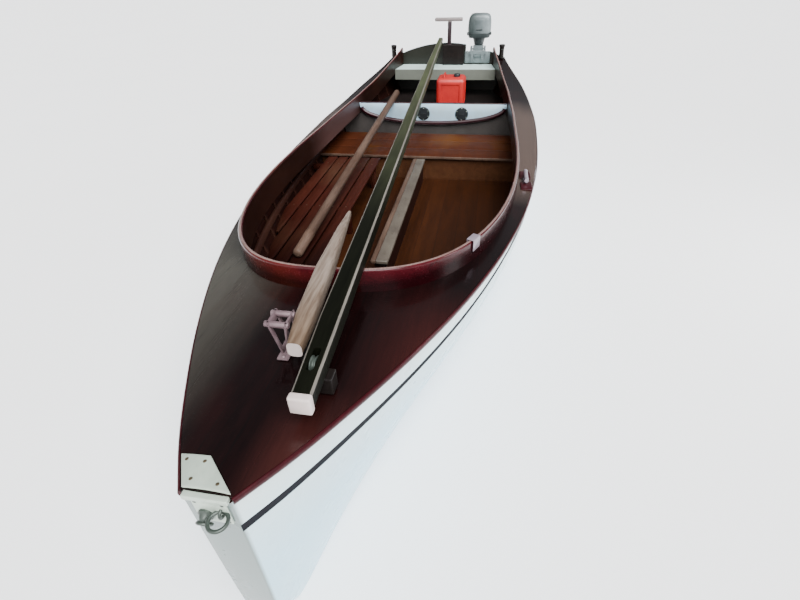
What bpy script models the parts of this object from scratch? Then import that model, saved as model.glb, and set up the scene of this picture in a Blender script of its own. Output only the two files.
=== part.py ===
"""A decked wooden dayboat with its mast and a short spar laid along it and an outboard motor.

+X is forward, +Y is port and +Z is up. z = 0 is the waterline, x = 0 the aft end of the hull.
"""
import math

import bmesh
import bpy
import numpy as np
from mathutils import Matrix, Vector

# Hull and deck, in metres.
LENGTH = 5.2
PLANK = 0.014
TRANSOM_THICK = 0.030
TRANSOM_ARCH = 0.145
DECK_THICK = 0.012
CAMBER = 0.035
KEEL_HALF = 0.042
GAP = 0.0003
SHEER_LOW = 0.446
SHEER_BOW = 0.676
SHEER_STERN = 0.615
SHEER_LOW_AT = 0.72
HULL_STEPS = 30

# Hull stations: distance from the bow as a share of the length, half beam at the deck,
# height of the bottom, and fullness of the section (1 is a straight V, 2 an ellipse).
STATIONS = [
    (0.00, 0.050, 0.150, 1.60),
    (0.02, 0.116, -0.020, 1.35),
    (0.06, 0.228, -0.110, 1.30),
    (0.15, 0.438, -0.160, 1.45),
    (0.28, 0.647, -0.195, 1.80),
    (0.42, 0.773, -0.210, 2.15),
    (0.56, 0.831, -0.205, 2.35),
    (0.70, 0.845, -0.175, 2.40),
    (0.85, 0.784, -0.105, 2.30),
    (1.00, 0.606, -0.005, 2.20),
]

# Cockpit opening: place along the boat and half width, then a round front of one power.
COCKPIT_SIDES = [(-0.10, 0.488), (0.50, 0.575), (1.20, 0.650), (1.90, 0.680), (2.60, 0.686)]
COCKPIT_FRONT = 4.44
COCKPIT_POWER = 2.45
COAMING_THICK = 0.018
COAMING_UP = 0.085
COAMING_DOWN = 0.060
COAMING_AFT = 0.012
COAMING_SCARF = 3.10
RAIL_THICK = 0.008

# Cockpit floor, trunk, seats.
SOLE_Z = 0.120
SOLE_THICK = 0.012
SOLE_FRONT = 4.16
TRUNK_FRONT = 3.66
TRUNK_AFT = 2.24
TRUNK_HALF = 0.032
TRUNK_TOP = 0.268
SLOT_HALF = 0.017
SLOT_END = 0.05
CAP_THICK = 0.020
CAP_HALF = 0.045
AFT_SEAT = (1.64, 2.20)
AFT_SEAT_TOP = 0.300
SEAT_THICK = 0.020
BENCH = (2.26, 3.98)
BENCH_TOP = 0.300
BENCH_INNER = 0.290
SLAT_WIDE = 0.072
SLAT_GAP = 0.012
SLAT_THICK = 0.014
BEARERS = (2.40, 3.12, 3.84)

# Aft bulkhead with its apron, stern deck, shelf and fuel tank.
BULKHEAD_X = 1.420
BULKHEAD_TOP = 0.496
BULKHEAD_SIDE = 0.400
APRON_LOW = 0.336
APRON_SIDE = 0.462
PORT_PLATES = ((-0.070, "port_plate_starboard"), (0.262, "port_plate_port"))
PORT_PLATE_Z = 0.412
PORT_PLATE_R = 0.056
SHELF_Z = 0.292
STERN_DECK_X = (0.002, 0.300)
STERN_DECK_Z = (0.456, 0.556)
STERN_DECK_THICK = 0.020
TANK_LOW = (0.560, -0.030)
TANK_SIZE = (0.260, 0.275, 0.272)

# Centreboard.
BOARD_PIVOT = (3.46, -0.105)
BOARD_THICK = 0.020
BOARD_LONG = 1.12
BOARD_PIN_R = 0.010

# Rudder and outboard motor.
RUDDER_X = -0.080
GUDGEON_Z = (0.300, 0.060)
GUDGEON_TALL = 0.025
PIN_R = 0.008
PIN_PLAY = 0.0007
MOTOR_Y = 0.325
NOTCH = (0.200, 0.448)
NOTCH_Z = 0.655
TILT_X = -0.100
TILT_Z = 0.690
STEER_X = -0.210
COWL_Z = (0.786, 1.005)
COWL_FRONT = 0.082
COWL_BACK = 0.235
COWL_HALF = 0.124
PROP_Z = -0.270
LEG_R = 0.0155

# Spars laid along the boat: forward and aft ends (x, y).
MAST_ENDS = ((4.985, 0.133), (-0.035, -0.078))
MAST_HEEL = (0.066, 0.062)
MAST_TIP = (0.048, 0.048)
SHORT_ENDS = ((4.835, 0.058), (4.075, -0.004))
SHORT_SIZE = (0.052, 0.054)
CHOCK_X = (4.860, 4.900)
CHOCK_Y = (0.085, 0.170)

# A spare spar leaning from the bench to the top of the aft bulkhead.
LEAN_ENDS = ((3.740, -0.410), (1.250, -0.336))
LEAN_R = 0.022

# Tabernacle, crutch and fittings.
TABERNACLE_X = (4.740, 4.805)
TABERNACLE_Y = (-0.050, 0.012)
TABERNACLE_UP = 0.140
STEM_PLATE = (5.115, 5.190)
STEM_PLATE_SIDE = -0.030
STEM_PLATE_FLARE = 1.10
STEM_RING = (0.030, 0.648)
CRUTCH_X = 0.028
CRUTCH_Y = 0.020
STERN_BLOCK = (0.055, -0.045, 0.180, 0.749)
CRUTCH_TOP = 0.965
CRUTCH_BAR = (-0.132, 0.150)
QUARTER_POST = (0.060, 0.578)
SIDE_CLEAT = (3.13, 0.715)


def clear_scene():
    for obj in list(bpy.data.objects):
        bpy.data.objects.remove(obj, do_unlink=True)


def collection(name):
    made = bpy.data.collections.new(name)
    bpy.context.scene.collection.children.link(made)
    return made


def material(name, color, roughness, metallic):
    made = bpy.data.materials.new(name)
    made.use_nodes = True
    shader = made.node_tree.nodes["Principled BSDF"]
    shader.inputs["Base Color"].default_value = (*color, 1.0)
    shader.inputs["Roughness"].default_value = roughness
    shader.inputs["Metallic"].default_value = metallic
    return made


clear_scene()
PARTS = collection("sailboat")
CUTTERS = collection("cutters")

# Finish: colour, roughness, metallic.
FINISHES = {
    "white": ((0.82, 0.86, 0.87), 0.28, 0.0),
    "cream": ((0.70, 0.66, 0.54), 0.45, 0.0),
    "mahogany": ((0.13, 0.035, 0.022), 0.22, 0.0),
    "floor": ((0.22, 0.090, 0.035), 0.40, 0.0),
    "dark_wood": ((0.035, 0.018, 0.014), 0.30, 0.0),
    "spar": ((0.10, 0.09, 0.07), 0.35, 0.0),
    "tan": ((0.42, 0.36, 0.27), 0.50, 0.0),
    "grey": ((0.42, 0.46, 0.47), 0.35, 0.0),
    "red": ((0.62, 0.05, 0.04), 0.40, 0.0),
    "black": ((0.02, 0.02, 0.02), 0.50, 0.0),
    "steel": ((0.60, 0.63, 0.60), 0.30, 0.9),
}
MATERIALS = {name: material(name, *look) for name, look in FINISHES.items()}


def add(name, mesh, finish, where=PARTS):
    obj = bpy.data.objects.new(name, mesh)
    where.objects.link(obj)
    if finish:
        mesh.materials.append(MATERIALS[finish])
    if where is CUTTERS:
        obj.hide_render = True
        obj.display_type = "WIRE"
    return obj


def from_bmesh(name, bm, finish, where=PARTS, smooth=False):
    bmesh.ops.recalc_face_normals(bm, faces=bm.faces)
    mesh = bpy.data.meshes.new(name)
    bm.to_mesh(mesh)
    bm.free()
    if smooth:
        mesh.shade_smooth()
        mesh.set_sharp_from_angle(angle=math.radians(35))
    return add(name, mesh, finish, where)


def boolean(obj, other, operation):
    change = obj.modifiers.new(operation.lower(), "BOOLEAN")
    change.operation = operation
    change.object = other


def cut(obj, cutter):
    boolean(obj, cutter, "DIFFERENCE")


def join(obj, other):
    boolean(obj, other, "UNION")


def bevel(obj, width, segments=2):
    change = obj.modifiers.new("round", "BEVEL")
    change.width = width
    change.segments = segments
    change.limit_method = "ANGLE"
    change.angle_limit = math.radians(30)


def box(name, low, high, finish, where=PARTS, round_edge=0.0, segments=2):
    bm = bmesh.new()
    size = [top - bottom for bottom, top in zip(low, high)]
    bmesh.ops.create_cube(bm, size=1.0)
    bmesh.ops.scale(bm, vec=size, verts=bm.verts)
    obj = from_bmesh(name, bm, finish, where)
    obj.location = [(top + bottom) / 2 for bottom, top in zip(low, high)]
    if round_edge:
        bevel(obj, round_edge, segments)
    return obj


def rod(name, start, end, radius, finish, where=PARTS, sides=20, radius_end=None):
    """A round bar from start to end, its origin at the middle."""
    start, end = Vector(start), Vector(end)
    along = end - start
    bm = bmesh.new()
    bmesh.ops.create_cone(bm, cap_ends=True, segments=sides, radius1=radius,
                          radius2=radius if radius_end is None else radius_end,
                          depth=along.length)
    obj = from_bmesh(name, bm, finish, where, smooth=True)
    obj.location = (start + end) / 2
    obj.rotation_euler = along.to_track_quat("Z", "Y").to_euler()
    return obj


def ring(name, centre, radius, thick, tilt, finish, where=PARTS):
    """A round eye or ring, turned by the tilt (degrees about X, Y, Z)."""
    bpy.ops.mesh.primitive_torus_add(major_radius=radius, minor_radius=thick,
                                     major_segments=24, minor_segments=8)
    made = bpy.context.object
    mesh = made.data
    bpy.data.objects.remove(made, do_unlink=True)
    mesh.shade_smooth()
    obj = add(name, mesh, finish, where)
    obj.location = centre
    obj.rotation_euler = [math.radians(angle) for angle in tilt]
    return obj


def pivot(obj, point):
    """Puts the origin of an unturned object on its joint's axis."""
    obj.data.transform(Matrix.Translation(obj.location - Vector(point)))
    obj.location = point


def loft(name, rings, finish, where=PARTS, smooth=True):
    """A skin over rings of equal count, capped at both ends."""
    bm = bmesh.new()
    rows = [[bm.verts.new(point) for point in ring_points] for ring_points in rings]
    count = len(rings[0])
    for near, far in zip(rows, rows[1:]):
        for i in range(count):
            j = (i + 1) % count
            bm.faces.new((near[i], near[j], far[j], far[i]))
    bm.faces.new(rows[0])
    bm.faces.new(list(reversed(rows[-1])))
    return from_bmesh(name, bm, finish, where, smooth)


def plate(name, outline, axis, low, high, finish, where=PARTS, round_edge=0.0):
    """A flat outline of two coordinates, extruded along the axis from low to high."""
    order = {"x": (2, 0, 1), "y": (0, 2, 1), "z": (0, 1, 2)}[axis]
    rings = []
    for level in (low, high):
        rings.append([tuple((a, b, level)[k] for k in order) for a, b in outline])
    obj = loft(name, rings, finish, where, smooth=False)
    if round_edge:
        bevel(obj, round_edge)
    return obj


def sheer_z(x):
    share = 1 - x / LENGTH
    if share < SHEER_LOW_AT:
        return SHEER_LOW + (SHEER_BOW - SHEER_LOW) * ((SHEER_LOW_AT - share) / SHEER_LOW_AT) ** 2
    rest = (share - SHEER_LOW_AT) / (1 - SHEER_LOW_AT)
    return SHEER_LOW + (SHEER_STERN - SHEER_LOW) * rest ** 2


def station(column, x):
    """A smooth curve through one column of the station table."""
    share = min(max(1 - x / LENGTH, 0.0), 1.0)
    at = [row[0] for row in STATIONS]
    values = [row[column] for row in STATIONS]
    slopes = np.gradient(values, at)
    k = min(max(int(np.searchsorted(at, share)) - 1, 0), len(at) - 2)
    width = at[k + 1] - at[k]
    t = (share - at[k]) / width
    start = values[k] * (1 + 2 * t) * (1 - t) ** 2 + slopes[k] * width * t * (1 - t) ** 2
    end = values[k + 1] * t * t * (3 - 2 * t) + slopes[k + 1] * width * t * t * (t - 1)
    return float(start + end)


def half_beam(x):
    return station(1, x)


def bottom_z(x):
    return station(2, x)


def half_section(x, wall=0.0, steps=10):
    """Points (y, z) from the deck edge down to the flat of the keel, inset by the wall."""
    beam = max(half_beam(x) - wall, 0.004)
    flat = max(min(KEEL_HALF, half_beam(x) * 0.8) - wall * 0.5, 0.002)
    deep = sheer_z(x) - bottom_z(x) - wall
    power = 2.0 / station(3, x)
    points = []
    for i in range(steps + 1):
        turn = math.pi / 2 * i / steps
        out = math.cos(turn) ** power if i < steps else 0.0
        points.append((flat + (beam - flat) * out, sheer_z(x) - deep * math.sin(turn) ** power))
    return points


def hull_half(x, z, wall=0.0):
    """Half breadth of the hull at a height."""
    points = half_section(x, wall)
    heights = [p[1] for p in points][::-1]
    breadths = [p[0] for p in points][::-1]
    return float(np.interp(z, heights, breadths))


def full_ring(x, wall=0.0, top=None, at=None):
    side = half_section(x, wall)
    if top is not None:
        side = [(side[0][0], top)] + side
    place = x if at is None else at
    port = [(place, y, z) for y, z in side]
    starboard = [(place, -y, z) for y, z in reversed(side)]
    return port + starboard


def steps_between(start, end, count):
    return [start + (end - start) * i / count for i in range(count + 1)]


# Places of the hull's sections, closer together towards the bow.
HULL_X = [LENGTH * (1 - (1 - i / HULL_STEPS) ** 1.4) for i in range(HULL_STEPS + 1)]
BOTTOM_LINE = [bottom_z(x) for x in HULL_X]
SHEER_LINE = [sheer_z(x) for x in HULL_X]


def floor_z(x):
    """The bottom as it is built, straight between the hull's sections."""
    return float(np.interp(x, HULL_X, BOTTOM_LINE))


def cockpit_half(x):
    """Half width of the cockpit opening where its sides run along the boat."""
    return float(np.interp(x, [row[0] for row in COCKPIT_SIDES], [row[1] for row in COCKPIT_SIDES]))


def cockpit_outline(inset=0.0, aft=-0.10, steps=24):
    """Port side points from aft to the front, spaced evenly round the bow end."""
    widest_x, widest = COCKPIT_SIDES[-1]
    points = [(aft, cockpit_half(aft) - inset)]
    points += [(x, cockpit_half(x) - inset) for x in steps_between(-0.10, widest_x, 14) if x > aft]
    power = 2 / COCKPIT_POWER
    for i in range(1, steps + 1):
        turn = math.pi / 2 * i / steps
        side = (widest - inset) * math.cos(turn) ** power if i < steps else 0.0
        front = (COCKPIT_FRONT - inset - widest_x) * math.sin(turn) ** power
        points.append((widest_x + front, side))
    return points


def deck_top(x, y):
    beam = max(half_beam(x), 0.01)
    crown = CAMBER * (1 - min((y / beam) ** 2, 1.0)) * min(beam / 0.4, 1.0)
    return float(np.interp(x, HULL_X, SHEER_LINE)) + GAP + DECK_THICK + crown


# Shares of the half beam at which the deck has its lines along the boat.
ACROSS = [math.sin(math.pi / 2 * k / 6) for k in range(-6, 7)]
DECK_LINES = [[deck_top(x, half_beam(x) * share) for x in HULL_X] for share in ACROSS]
BEAM_LINE = [half_beam(x) for x in HULL_X]


def deck_built(x, y):
    """Top of the deck as it is built, straight between its sections and lines."""
    beam = float(np.interp(x, HULL_X, BEAM_LINE))
    levels = [float(np.interp(x, HULL_X, line)) for line in DECK_LINES]
    return float(np.interp(y, [beam * share for share in ACROSS], levels))


def seat_on_deck(aft, front, starboard, port):
    """Height at which a flat base over this patch stands on the deck."""
    middle = min(max(0.0, starboard), port)
    return max(deck_built(x, y) for x in (aft, front) for y in (starboard, middle, port)) + GAP


def seat_round(x, y, radius):
    """The same for a round base."""
    turns = [2 * math.pi * i / 16 for i in range(16)]
    return max(deck_built(x + radius * math.cos(t), y + radius * math.sin(t)) for t in turns) + GAP


def arch_z(y):
    """Top edge of the transom."""
    return SHEER_STERN + 0.002 + TRANSOM_ARCH * (1 - (y / half_beam(0)) ** 2)


def build_hull():
    shell = loft("hull_shell", [full_ring(x) for x in HULL_X], "white")
    inner = [full_ring(0.0, PLANK, 1.0, -0.05)]
    inner += [full_ring(x, PLANK, 1.0) for x in HULL_X if x < LENGTH - 0.20]
    cut(shell, loft("hull_inside", inner, None, CUTTERS))
    cut(shell, box("hull_slot", (TRUNK_AFT + SLOT_END, -SLOT_HALF, -0.5),
                   (TRUNK_FRONT - SLOT_END, SLOT_HALF, 0.1), None, CUTTERS))
    outline = [(y, z) for _, y, z in full_ring(0.0)]
    across = [-half_beam(0) * math.cos(math.pi * i / 16) for i in range(17)]
    outline += [(y, arch_z(y)) for y in across]
    transom = plate("transom", outline, "x", -TRANSOM_THICK - GAP, -GAP, "mahogany")
    cut(transom, box("motor_notch", (-0.1, NOTCH[0], NOTCH_Z), (0.1, NOTCH[1], 1.0), None, CUTTERS))


def build_keel():
    """The outer keel: it follows the bottom and deepens to a skeg at the stern."""
    rings = []
    for x in HULL_X:
        if x > 4.95:
            break
        top = bottom_z(x) - GAP
        skeg = 0.20 * max(0.0, 1 - x / 1.7) ** 1.3
        deep = 0.045 * min(1.0, (5.05 - x) / 0.5) + skeg
        half = min(KEEL_HALF, half_beam(x) * 0.8) - 0.002
        foot = max(half - 0.35 * skeg, 0.014)
        rings.append([(x, half, top), (x, foot, top - deep), (x, -foot, top - deep), (x, -half, top)])
    keel = loft("keel_skeg", rings, "white", smooth=False)
    cut(keel, box("keel_slot", (TRUNK_AFT + SLOT_END, -SLOT_HALF, -0.6),
                  (TRUNK_FRONT - SLOT_END, SLOT_HALF, 0.2), None, CUTTERS))


def build_deck():
    rings = []
    for x in HULL_X[:-1] + [LENGTH - 0.008]:
        beam = half_beam(x)
        across = [beam * share for share in ACROSS]
        under = [(x, y, deck_top(x, y) - DECK_THICK) for y in across]
        over = [(x, y, deck_top(x, y)) for y in reversed(across)]
        rings.append(under + over)
    deck = loft("deck", rings, "mahogany")
    port = cockpit_outline()
    outline = port + [(x, -y) for x, y in reversed(port[:-1])]
    cut(deck, plate("deck_opening", outline, "z", -0.2, 1.2, None, CUTTERS))


def coaming_ring(inner, outer):
    """Section of the coaming at one place, with its upper edges eased."""
    (xi, yi), (xo, yo) = inner, outer
    ease = 0.004
    share = ease / COAMING_THICK
    level = deck_top(xo, yo)
    top = level + COAMING_UP
    near = (xo + (xi - xo) * share, yo + (yi - yo) * share)
    far = (xi + (xo - xi) * share, yi + (yo - yi) * share)
    return [(xo, yo, level - COAMING_DOWN), (xo, yo, top - ease), (*near, top), (*far, top),
            (xi, yi, top - ease), (xi, yi, level - COAMING_DOWN)]


def build_coaming():
    """Bent strips that stand in the opening: one each side and one round the front."""
    inner = cockpit_outline(GAP + COAMING_THICK, COAMING_AFT)
    outer = cockpit_outline(GAP, COAMING_AFT)
    rings = [coaming_ring(near, far) for near, far in zip(inner, outer)]
    scarf = max(k for k, ring_points in enumerate(rings) if ring_points[0][0] < COAMING_SCARF)
    front = rings[scarf:] + [[(x, -y, z) for x, y, z in ring_points] for ring_points in rings[scarf:-1][::-1]]
    loft("coaming_front", front, "mahogany", smooth=False)
    butt = [(x - GAP, y, z) for x, y, z in rings[scarf]]
    side = rings[:scarf] + [butt]
    loft("coaming_port", side, "mahogany", smooth=False)
    loft("coaming_starboard", [[(x, -y, z) for x, y, z in ring_points] for ring_points in side], "mahogany",
         smooth=False)


def build_rails():
    for side, name in ((1, "rub_rail_port"), (-1, "rub_rail_starboard")):
        rings = []
        for x in HULL_X[:-2] + [LENGTH - 0.03]:
            slope = (half_beam(min(x + 0.01, LENGTH)) - half_beam(max(x - 0.01, 0))) / 0.02
            length = math.hypot(1, slope)
            out = Vector((-slope / length, 1 / length, 0))
            edge = Vector((x, half_beam(x), 0))
            near = edge + out * 0.0010
            far = edge + out * RAIL_THICK
            high = sheer_z(x) + GAP + DECK_THICK
            low = sheer_z(x) - 0.006
            rings.append([(near.x, near.y * side, low), (near.x, near.y * side, high),
                          (far.x, far.y * side, high - 0.003), (far.x, far.y * side, low + 0.003)])
        loft(name, rings, "mahogany", smooth=False)


def floor_panel(name, inner_y, side, start, end, level, thick, finish, margin=0.008):
    """A flat panel from inner_y out to the hull's side, between two places along the boat."""
    points = [(x, hull_half(x, level - thick, PLANK) - margin) for x in steps_between(start, end, 12)]
    outline = [(start, inner_y)] + points + [(end, inner_y)]
    return plate(name, [(x, y * side) for x, y in outline], "z", level - thick, level, finish)


def cross_panel(name, aft, front, top, thick, finish, margin=0.008):
    """A flat panel across the whole boat."""
    places = steps_between(aft, front, 4)
    port = [(x, hull_half(x, top - thick, PLANK) - margin) for x in places]
    outline = port + [(x, -y) for x, y in reversed(port)]
    return plate(name, outline, "z", top - thick, top, finish, round_edge=0.003)


def build_inside():
    start = AFT_SEAT[1] - 0.012
    for side, name in ((1, "sole_port"), (-1, "sole_starboard")):
        floor_panel(name, TRUNK_HALF + GAP, side, start, SOLE_FRONT, SOLE_Z, SOLE_THICK, "floor")
    rings = []
    for x in [TRUNK_AFT] + [x for x in HULL_X if TRUNK_AFT < x < TRUNK_FRONT] + [TRUNK_FRONT]:
        low = floor_z(x) + PLANK + GAP
        rings.append([(x, -TRUNK_HALF, low), (x, TRUNK_HALF, low),
                      (x, TRUNK_HALF, TRUNK_TOP), (x, -TRUNK_HALF, TRUNK_TOP)])
    trunk = loft("trunk", rings, "mahogany", smooth=False)
    cut(trunk, box("trunk_slot", (TRUNK_AFT + SLOT_END, -SLOT_HALF, -0.5),
                   (TRUNK_FRONT - SLOT_END, SLOT_HALF, TRUNK_TOP - 0.02), None, CUTTERS))
    px, pz = BOARD_PIVOT
    join(trunk, rod("board_pin", (px, -TRUNK_HALF - 0.004, pz), (px, TRUNK_HALF + 0.004, pz), BOARD_PIN_R,
                    None, CUTTERS))
    low, high = TRUNK_TOP + GAP, TRUNK_TOP + GAP + CAP_THICK
    box("trunk_cap", (TRUNK_AFT - 0.02, -0.018, low), (TRUNK_FRONT + 0.03, CAP_HALF, high), "cream",
        round_edge=0.004)
    box("trunk_cap_edge", (TRUNK_AFT - 0.02, -CAP_HALF, low), (TRUNK_FRONT + 0.03, -0.0183, high),
        "mahogany", round_edge=0.004)
    cross_panel("aft_seat", *AFT_SEAT, AFT_SEAT_TOP, SEAT_THICK, "floor")
    aft, front = AFT_SEAT[1] - 0.040, AFT_SEAT[1] - 0.026
    outline = section_outline(aft, front, inner_floor(aft, front), AFT_SEAT_TOP - SEAT_THICK - GAP, 0.008)
    plate("seat_riser", outline, "x", aft, front, "floor")
    build_bench()


def build_bench():
    """The starboard side bench: straight slats fixed across three bearers, each on a leg."""
    joined = None
    for k, x in enumerate(BEARERS):
        far = hull_half(x + 0.02, BENCH_TOP - 0.045, PLANK) - 0.006
        low = (x - 0.02, -far, BENCH_TOP - 0.045)
        high = (x + 0.02, -BENCH_INNER - 0.006, BENCH_TOP - SLAT_THICK + 0.002)
        if joined is None:
            joined = box("bench_starboard", low, high, "floor")
        else:
            join(joined, box("bench_bearer_%d" % k, low, high, None, CUTTERS))
        join(joined, box("bench_leg_%d" % k, (x - 0.018, -BENCH_INNER - 0.050, SOLE_Z + GAP),
                         (x + 0.018, -BENCH_INNER - 0.012, BENCH_TOP - 0.030), None, CUTTERS))
    for k in range(5):
        near = BENCH_INNER + k * (SLAT_WIDE + SLAT_GAP)
        far = near + SLAT_WIDE
        places = [x for x in steps_between(*BENCH, 60)
                  if hull_half(x, BENCH_TOP - SLAT_THICK, PLANK) - 0.008 > far]
        if len(places) < 20:
            continue
        join(joined, box("bench_slat_%d" % k, (places[0], -far, BENCH_TOP - SLAT_THICK),
                         (places[-1], -near, BENCH_TOP), None, CUTTERS))


def inner_floor(aft, front):
    """Height at which a frame stands on the flat inside the keel."""
    return max(floor_z(aft), floor_z(front)) + PLANK + GAP


def section_outline(aft, front, low, high, margin, steps=8):
    """Cross section that clears the inside of the hull at both faces of a frame."""
    port = []
    for z in steps_between(low, high, steps):
        port.append((min(hull_half(aft, z, PLANK), hull_half(front, z, PLANK)) - margin, z))
    return port + [(-y, z) for y, z in reversed(port)]


def build_stern():
    """Bulkhead, its white apron with two port plates, the shelf, the stern deck and the tank."""
    front = BULKHEAD_X + 0.012
    reach = cockpit_half(BULKHEAD_X) - COAMING_THICK - 0.0016
    outline = section_outline(BULKHEAD_X, front, inner_floor(BULKHEAD_X, front), BULKHEAD_SIDE, 0.006)
    middle = len(outline) // 2
    outline[middle:middle] = [(reach, BULKHEAD_SIDE), (reach, BULKHEAD_TOP - 0.02),
                              (-reach, BULKHEAD_TOP - 0.02), (-reach, BULKHEAD_SIDE)]
    plate("aft_bulkhead", outline, "x", BULKHEAD_X, front, "grey")
    wide = reach - 0.002
    outline = [(-wide, BULKHEAD_TOP), (-wide, APRON_SIDE)]
    for i in range(1, 16):
        turn = math.pi * i / 16
        outline.append((-wide * math.cos(turn), APRON_SIDE - (APRON_SIDE - APRON_LOW) * math.sin(turn)))
    outline += [(wide, APRON_SIDE), (wide, BULKHEAD_TOP)]
    face = BULKHEAD_X + 0.012 + GAP
    plate("apron", outline, "x", face, face + 0.014, "white")
    for y, name in PORT_PLATES:
        front = face + 0.014 + GAP
        rod(name, (front, y, PORT_PLATE_Z), (front + 0.010, y, PORT_PLATE_Z), PORT_PLATE_R, "black")
    cross_panel("tank_shelf", 0.030, BULKHEAD_X - 2 * GAP, SHELF_Z, 0.012, "dark_wood")
    aft, front = STERN_DECK_X
    low, top = STERN_DECK_Z
    ends = [(x, cockpit_half(x) - COAMING_THICK - 0.0009) for x in (aft, front)]
    outline = ends + [(x, -y) for x, y in reversed(ends)]
    made = plate("stern_deck", outline, "z", top - STERN_DECK_THICK, top, "white", round_edge=0.004)
    back = front - STERN_DECK_THICK
    ends = [(x, cockpit_half(x) - COAMING_THICK - 0.0009) for x in (back, front)]
    outline = ends + [(x, -y) for x, y in reversed(ends)]
    join(made, plate("stern_fascia", outline, "z", low, top - 0.006, None, CUTTERS))
    x, y = TANK_LOW
    top = SHELF_Z + GAP + TANK_SIZE[2]
    tank = box("fuel_tank", (x, y, SHELF_Z + GAP), (x + TANK_SIZE[0], y + TANK_SIZE[1], top), "red",
               round_edge=0.035, segments=3)
    handle = (x + TANK_SIZE[0] / 2, y + 0.07)
    join(tank, box("tank_handle", (handle[0] - 0.08, handle[1] - 0.014, top - 0.01),
                   (handle[0] + 0.08, handle[1] + 0.014, top + 0.030), None, CUTTERS))
    cut(tank, box("handle_gap", (handle[0] - 0.06, handle[1] - 0.1, top + 0.0005),
                  (handle[0] + 0.06, handle[1] + 0.1, top + 0.018), None, CUTTERS))
    cap = (x + TANK_SIZE[0] / 2, y + 0.19)
    rod("tank_cap", (*cap, top + GAP), (*cap, top + 0.026), 0.030, "black")


def spar_rest(x):
    """Underside of the laid spars, which bear on the coaming's front and the transom's arch."""
    front = COCKPIT_FRONT
    high = deck_top(COCKPIT_FRONT, 0.0) + COAMING_UP + GAP
    low = arch_z(-0.04) + GAP
    return low + (high - low) * x / front


def spar(name, ends, sections, finish):
    """A spar whose sections are (share of its length, width, height), with rounded corners."""
    (x1, y1), (x2, y2) = ends
    rings = []
    lowest = math.cos(math.pi / 16) ** 0.6
    for share, wide, high in sections:
        x = x1 + (x2 - x1) * share
        y = y1 + (y2 - y1) * share
        low = spar_rest(x)
        points = []
        for i in range(16):
            turn = 2 * math.pi * (i + 0.5) / 16
            side = math.copysign(abs(math.cos(turn)) ** 0.6, math.cos(turn)) * wide / 2
            rise = math.copysign(abs(math.sin(turn)) ** 0.6, math.sin(turn)) * high / 2 / lowest
            points.append((x, y + side, low + high / 2 + rise))
        rings.append(points)
    return loft(name, rings, finish)


def build_spars():
    heel, tip = MAST_HEEL, MAST_TIP
    mast = spar("mast", MAST_ENDS, [(0.0, *heel), (0.35, *heel), (0.7, 0.060, 0.066), (1.0, *tip)], "spar")
    (x1, y1), (x2, y2) = MAST_ENDS
    slope = (y2 - y1) / (x2 - x1)
    sheave = (x1 - 0.10, y1 - 0.10 * slope)
    top = spar_rest(sheave[0]) + heel[1]
    cut(mast, box("sheave_slot", (sheave[0] - 0.045, sheave[1] - 0.014, top - 0.035),
                  (sheave[0] + 0.045, sheave[1] + 0.014, top + 0.02), None, CUTTERS))
    low = spar_rest(x1) - 0.001
    box("mast_cap", (x1 + GAP, y1 - heel[0] / 2 - 0.001, low), (x1 + 0.022, y1 + heel[0] / 2 + 0.001,
        low + heel[1] + 0.003), "cream", round_edge=0.004)
    wide, high = SHORT_SIZE
    spar("short_spar", SHORT_ENDS, [(0.0, wide, high), (0.45, wide, high), (0.8, wide * 0.62, high * 0.75),
                                    (1.0, wide * 0.22, high * 0.4)], "tan")
    build_leaning_spar()
    aft, front = CHOCK_X
    box("spar_chock", (aft, CHOCK_Y[0], seat_on_deck(aft, front, *CHOCK_Y)),
        (front, CHOCK_Y[1], spar_rest(front) - GAP), "dark_wood", round_edge=0.003)


def build_leaning_spar():
    """A round spar: its underside bears on the bench in front and on the apron's top edge aft."""
    (x1, y1), (x2, y2) = LEAN_ENDS
    rest = BULKHEAD_X + 0.012 + GAP + 0.014
    slope = (BULKHEAD_TOP - BENCH_TOP) / (rest - x1)
    lift = LEAN_R * math.hypot(1, slope) + GAP
    low = [BENCH_TOP + slope * (x - x1) + lift for x in (x1, x2)]
    rod("leaning_spar", (x1, y1, low[0]), (x2, y2, low[1]), LEAN_R, "tan")


def build_fittings():
    build_tabernacle()
    front, starboard, port, top = STERN_BLOCK
    box("stern_block", (0.0, starboard, STERN_DECK_Z[1] + GAP), (front, port, top), "dark_wood",
        round_edge=0.004)
    x, y = CRUTCH_X, CRUTCH_Y
    box("crutch_post", (x - 0.015, y - 0.015, top + GAP), (x + 0.015, y + 0.015, CRUTCH_TOP), "mahogany",
        round_edge=0.003)
    box("crutch_bar", (x - 0.021, CRUTCH_BAR[0], CRUTCH_TOP + GAP),
        (x + 0.021, CRUTCH_BAR[1], CRUTCH_TOP + 0.022), "tan", round_edge=0.006)
    x, y = QUARTER_POST
    for side, name in ((1, "quarter_post_port"), (-1, "quarter_post_starboard")):
        at = y * side
        base = seat_round(x, at, 0.024)
        rod(name, (x, at, base), (x, at, base + 0.105), 0.024, "dark_wood", radius_end=0.019)
    build_stemhead()
    build_cleats()


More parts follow.
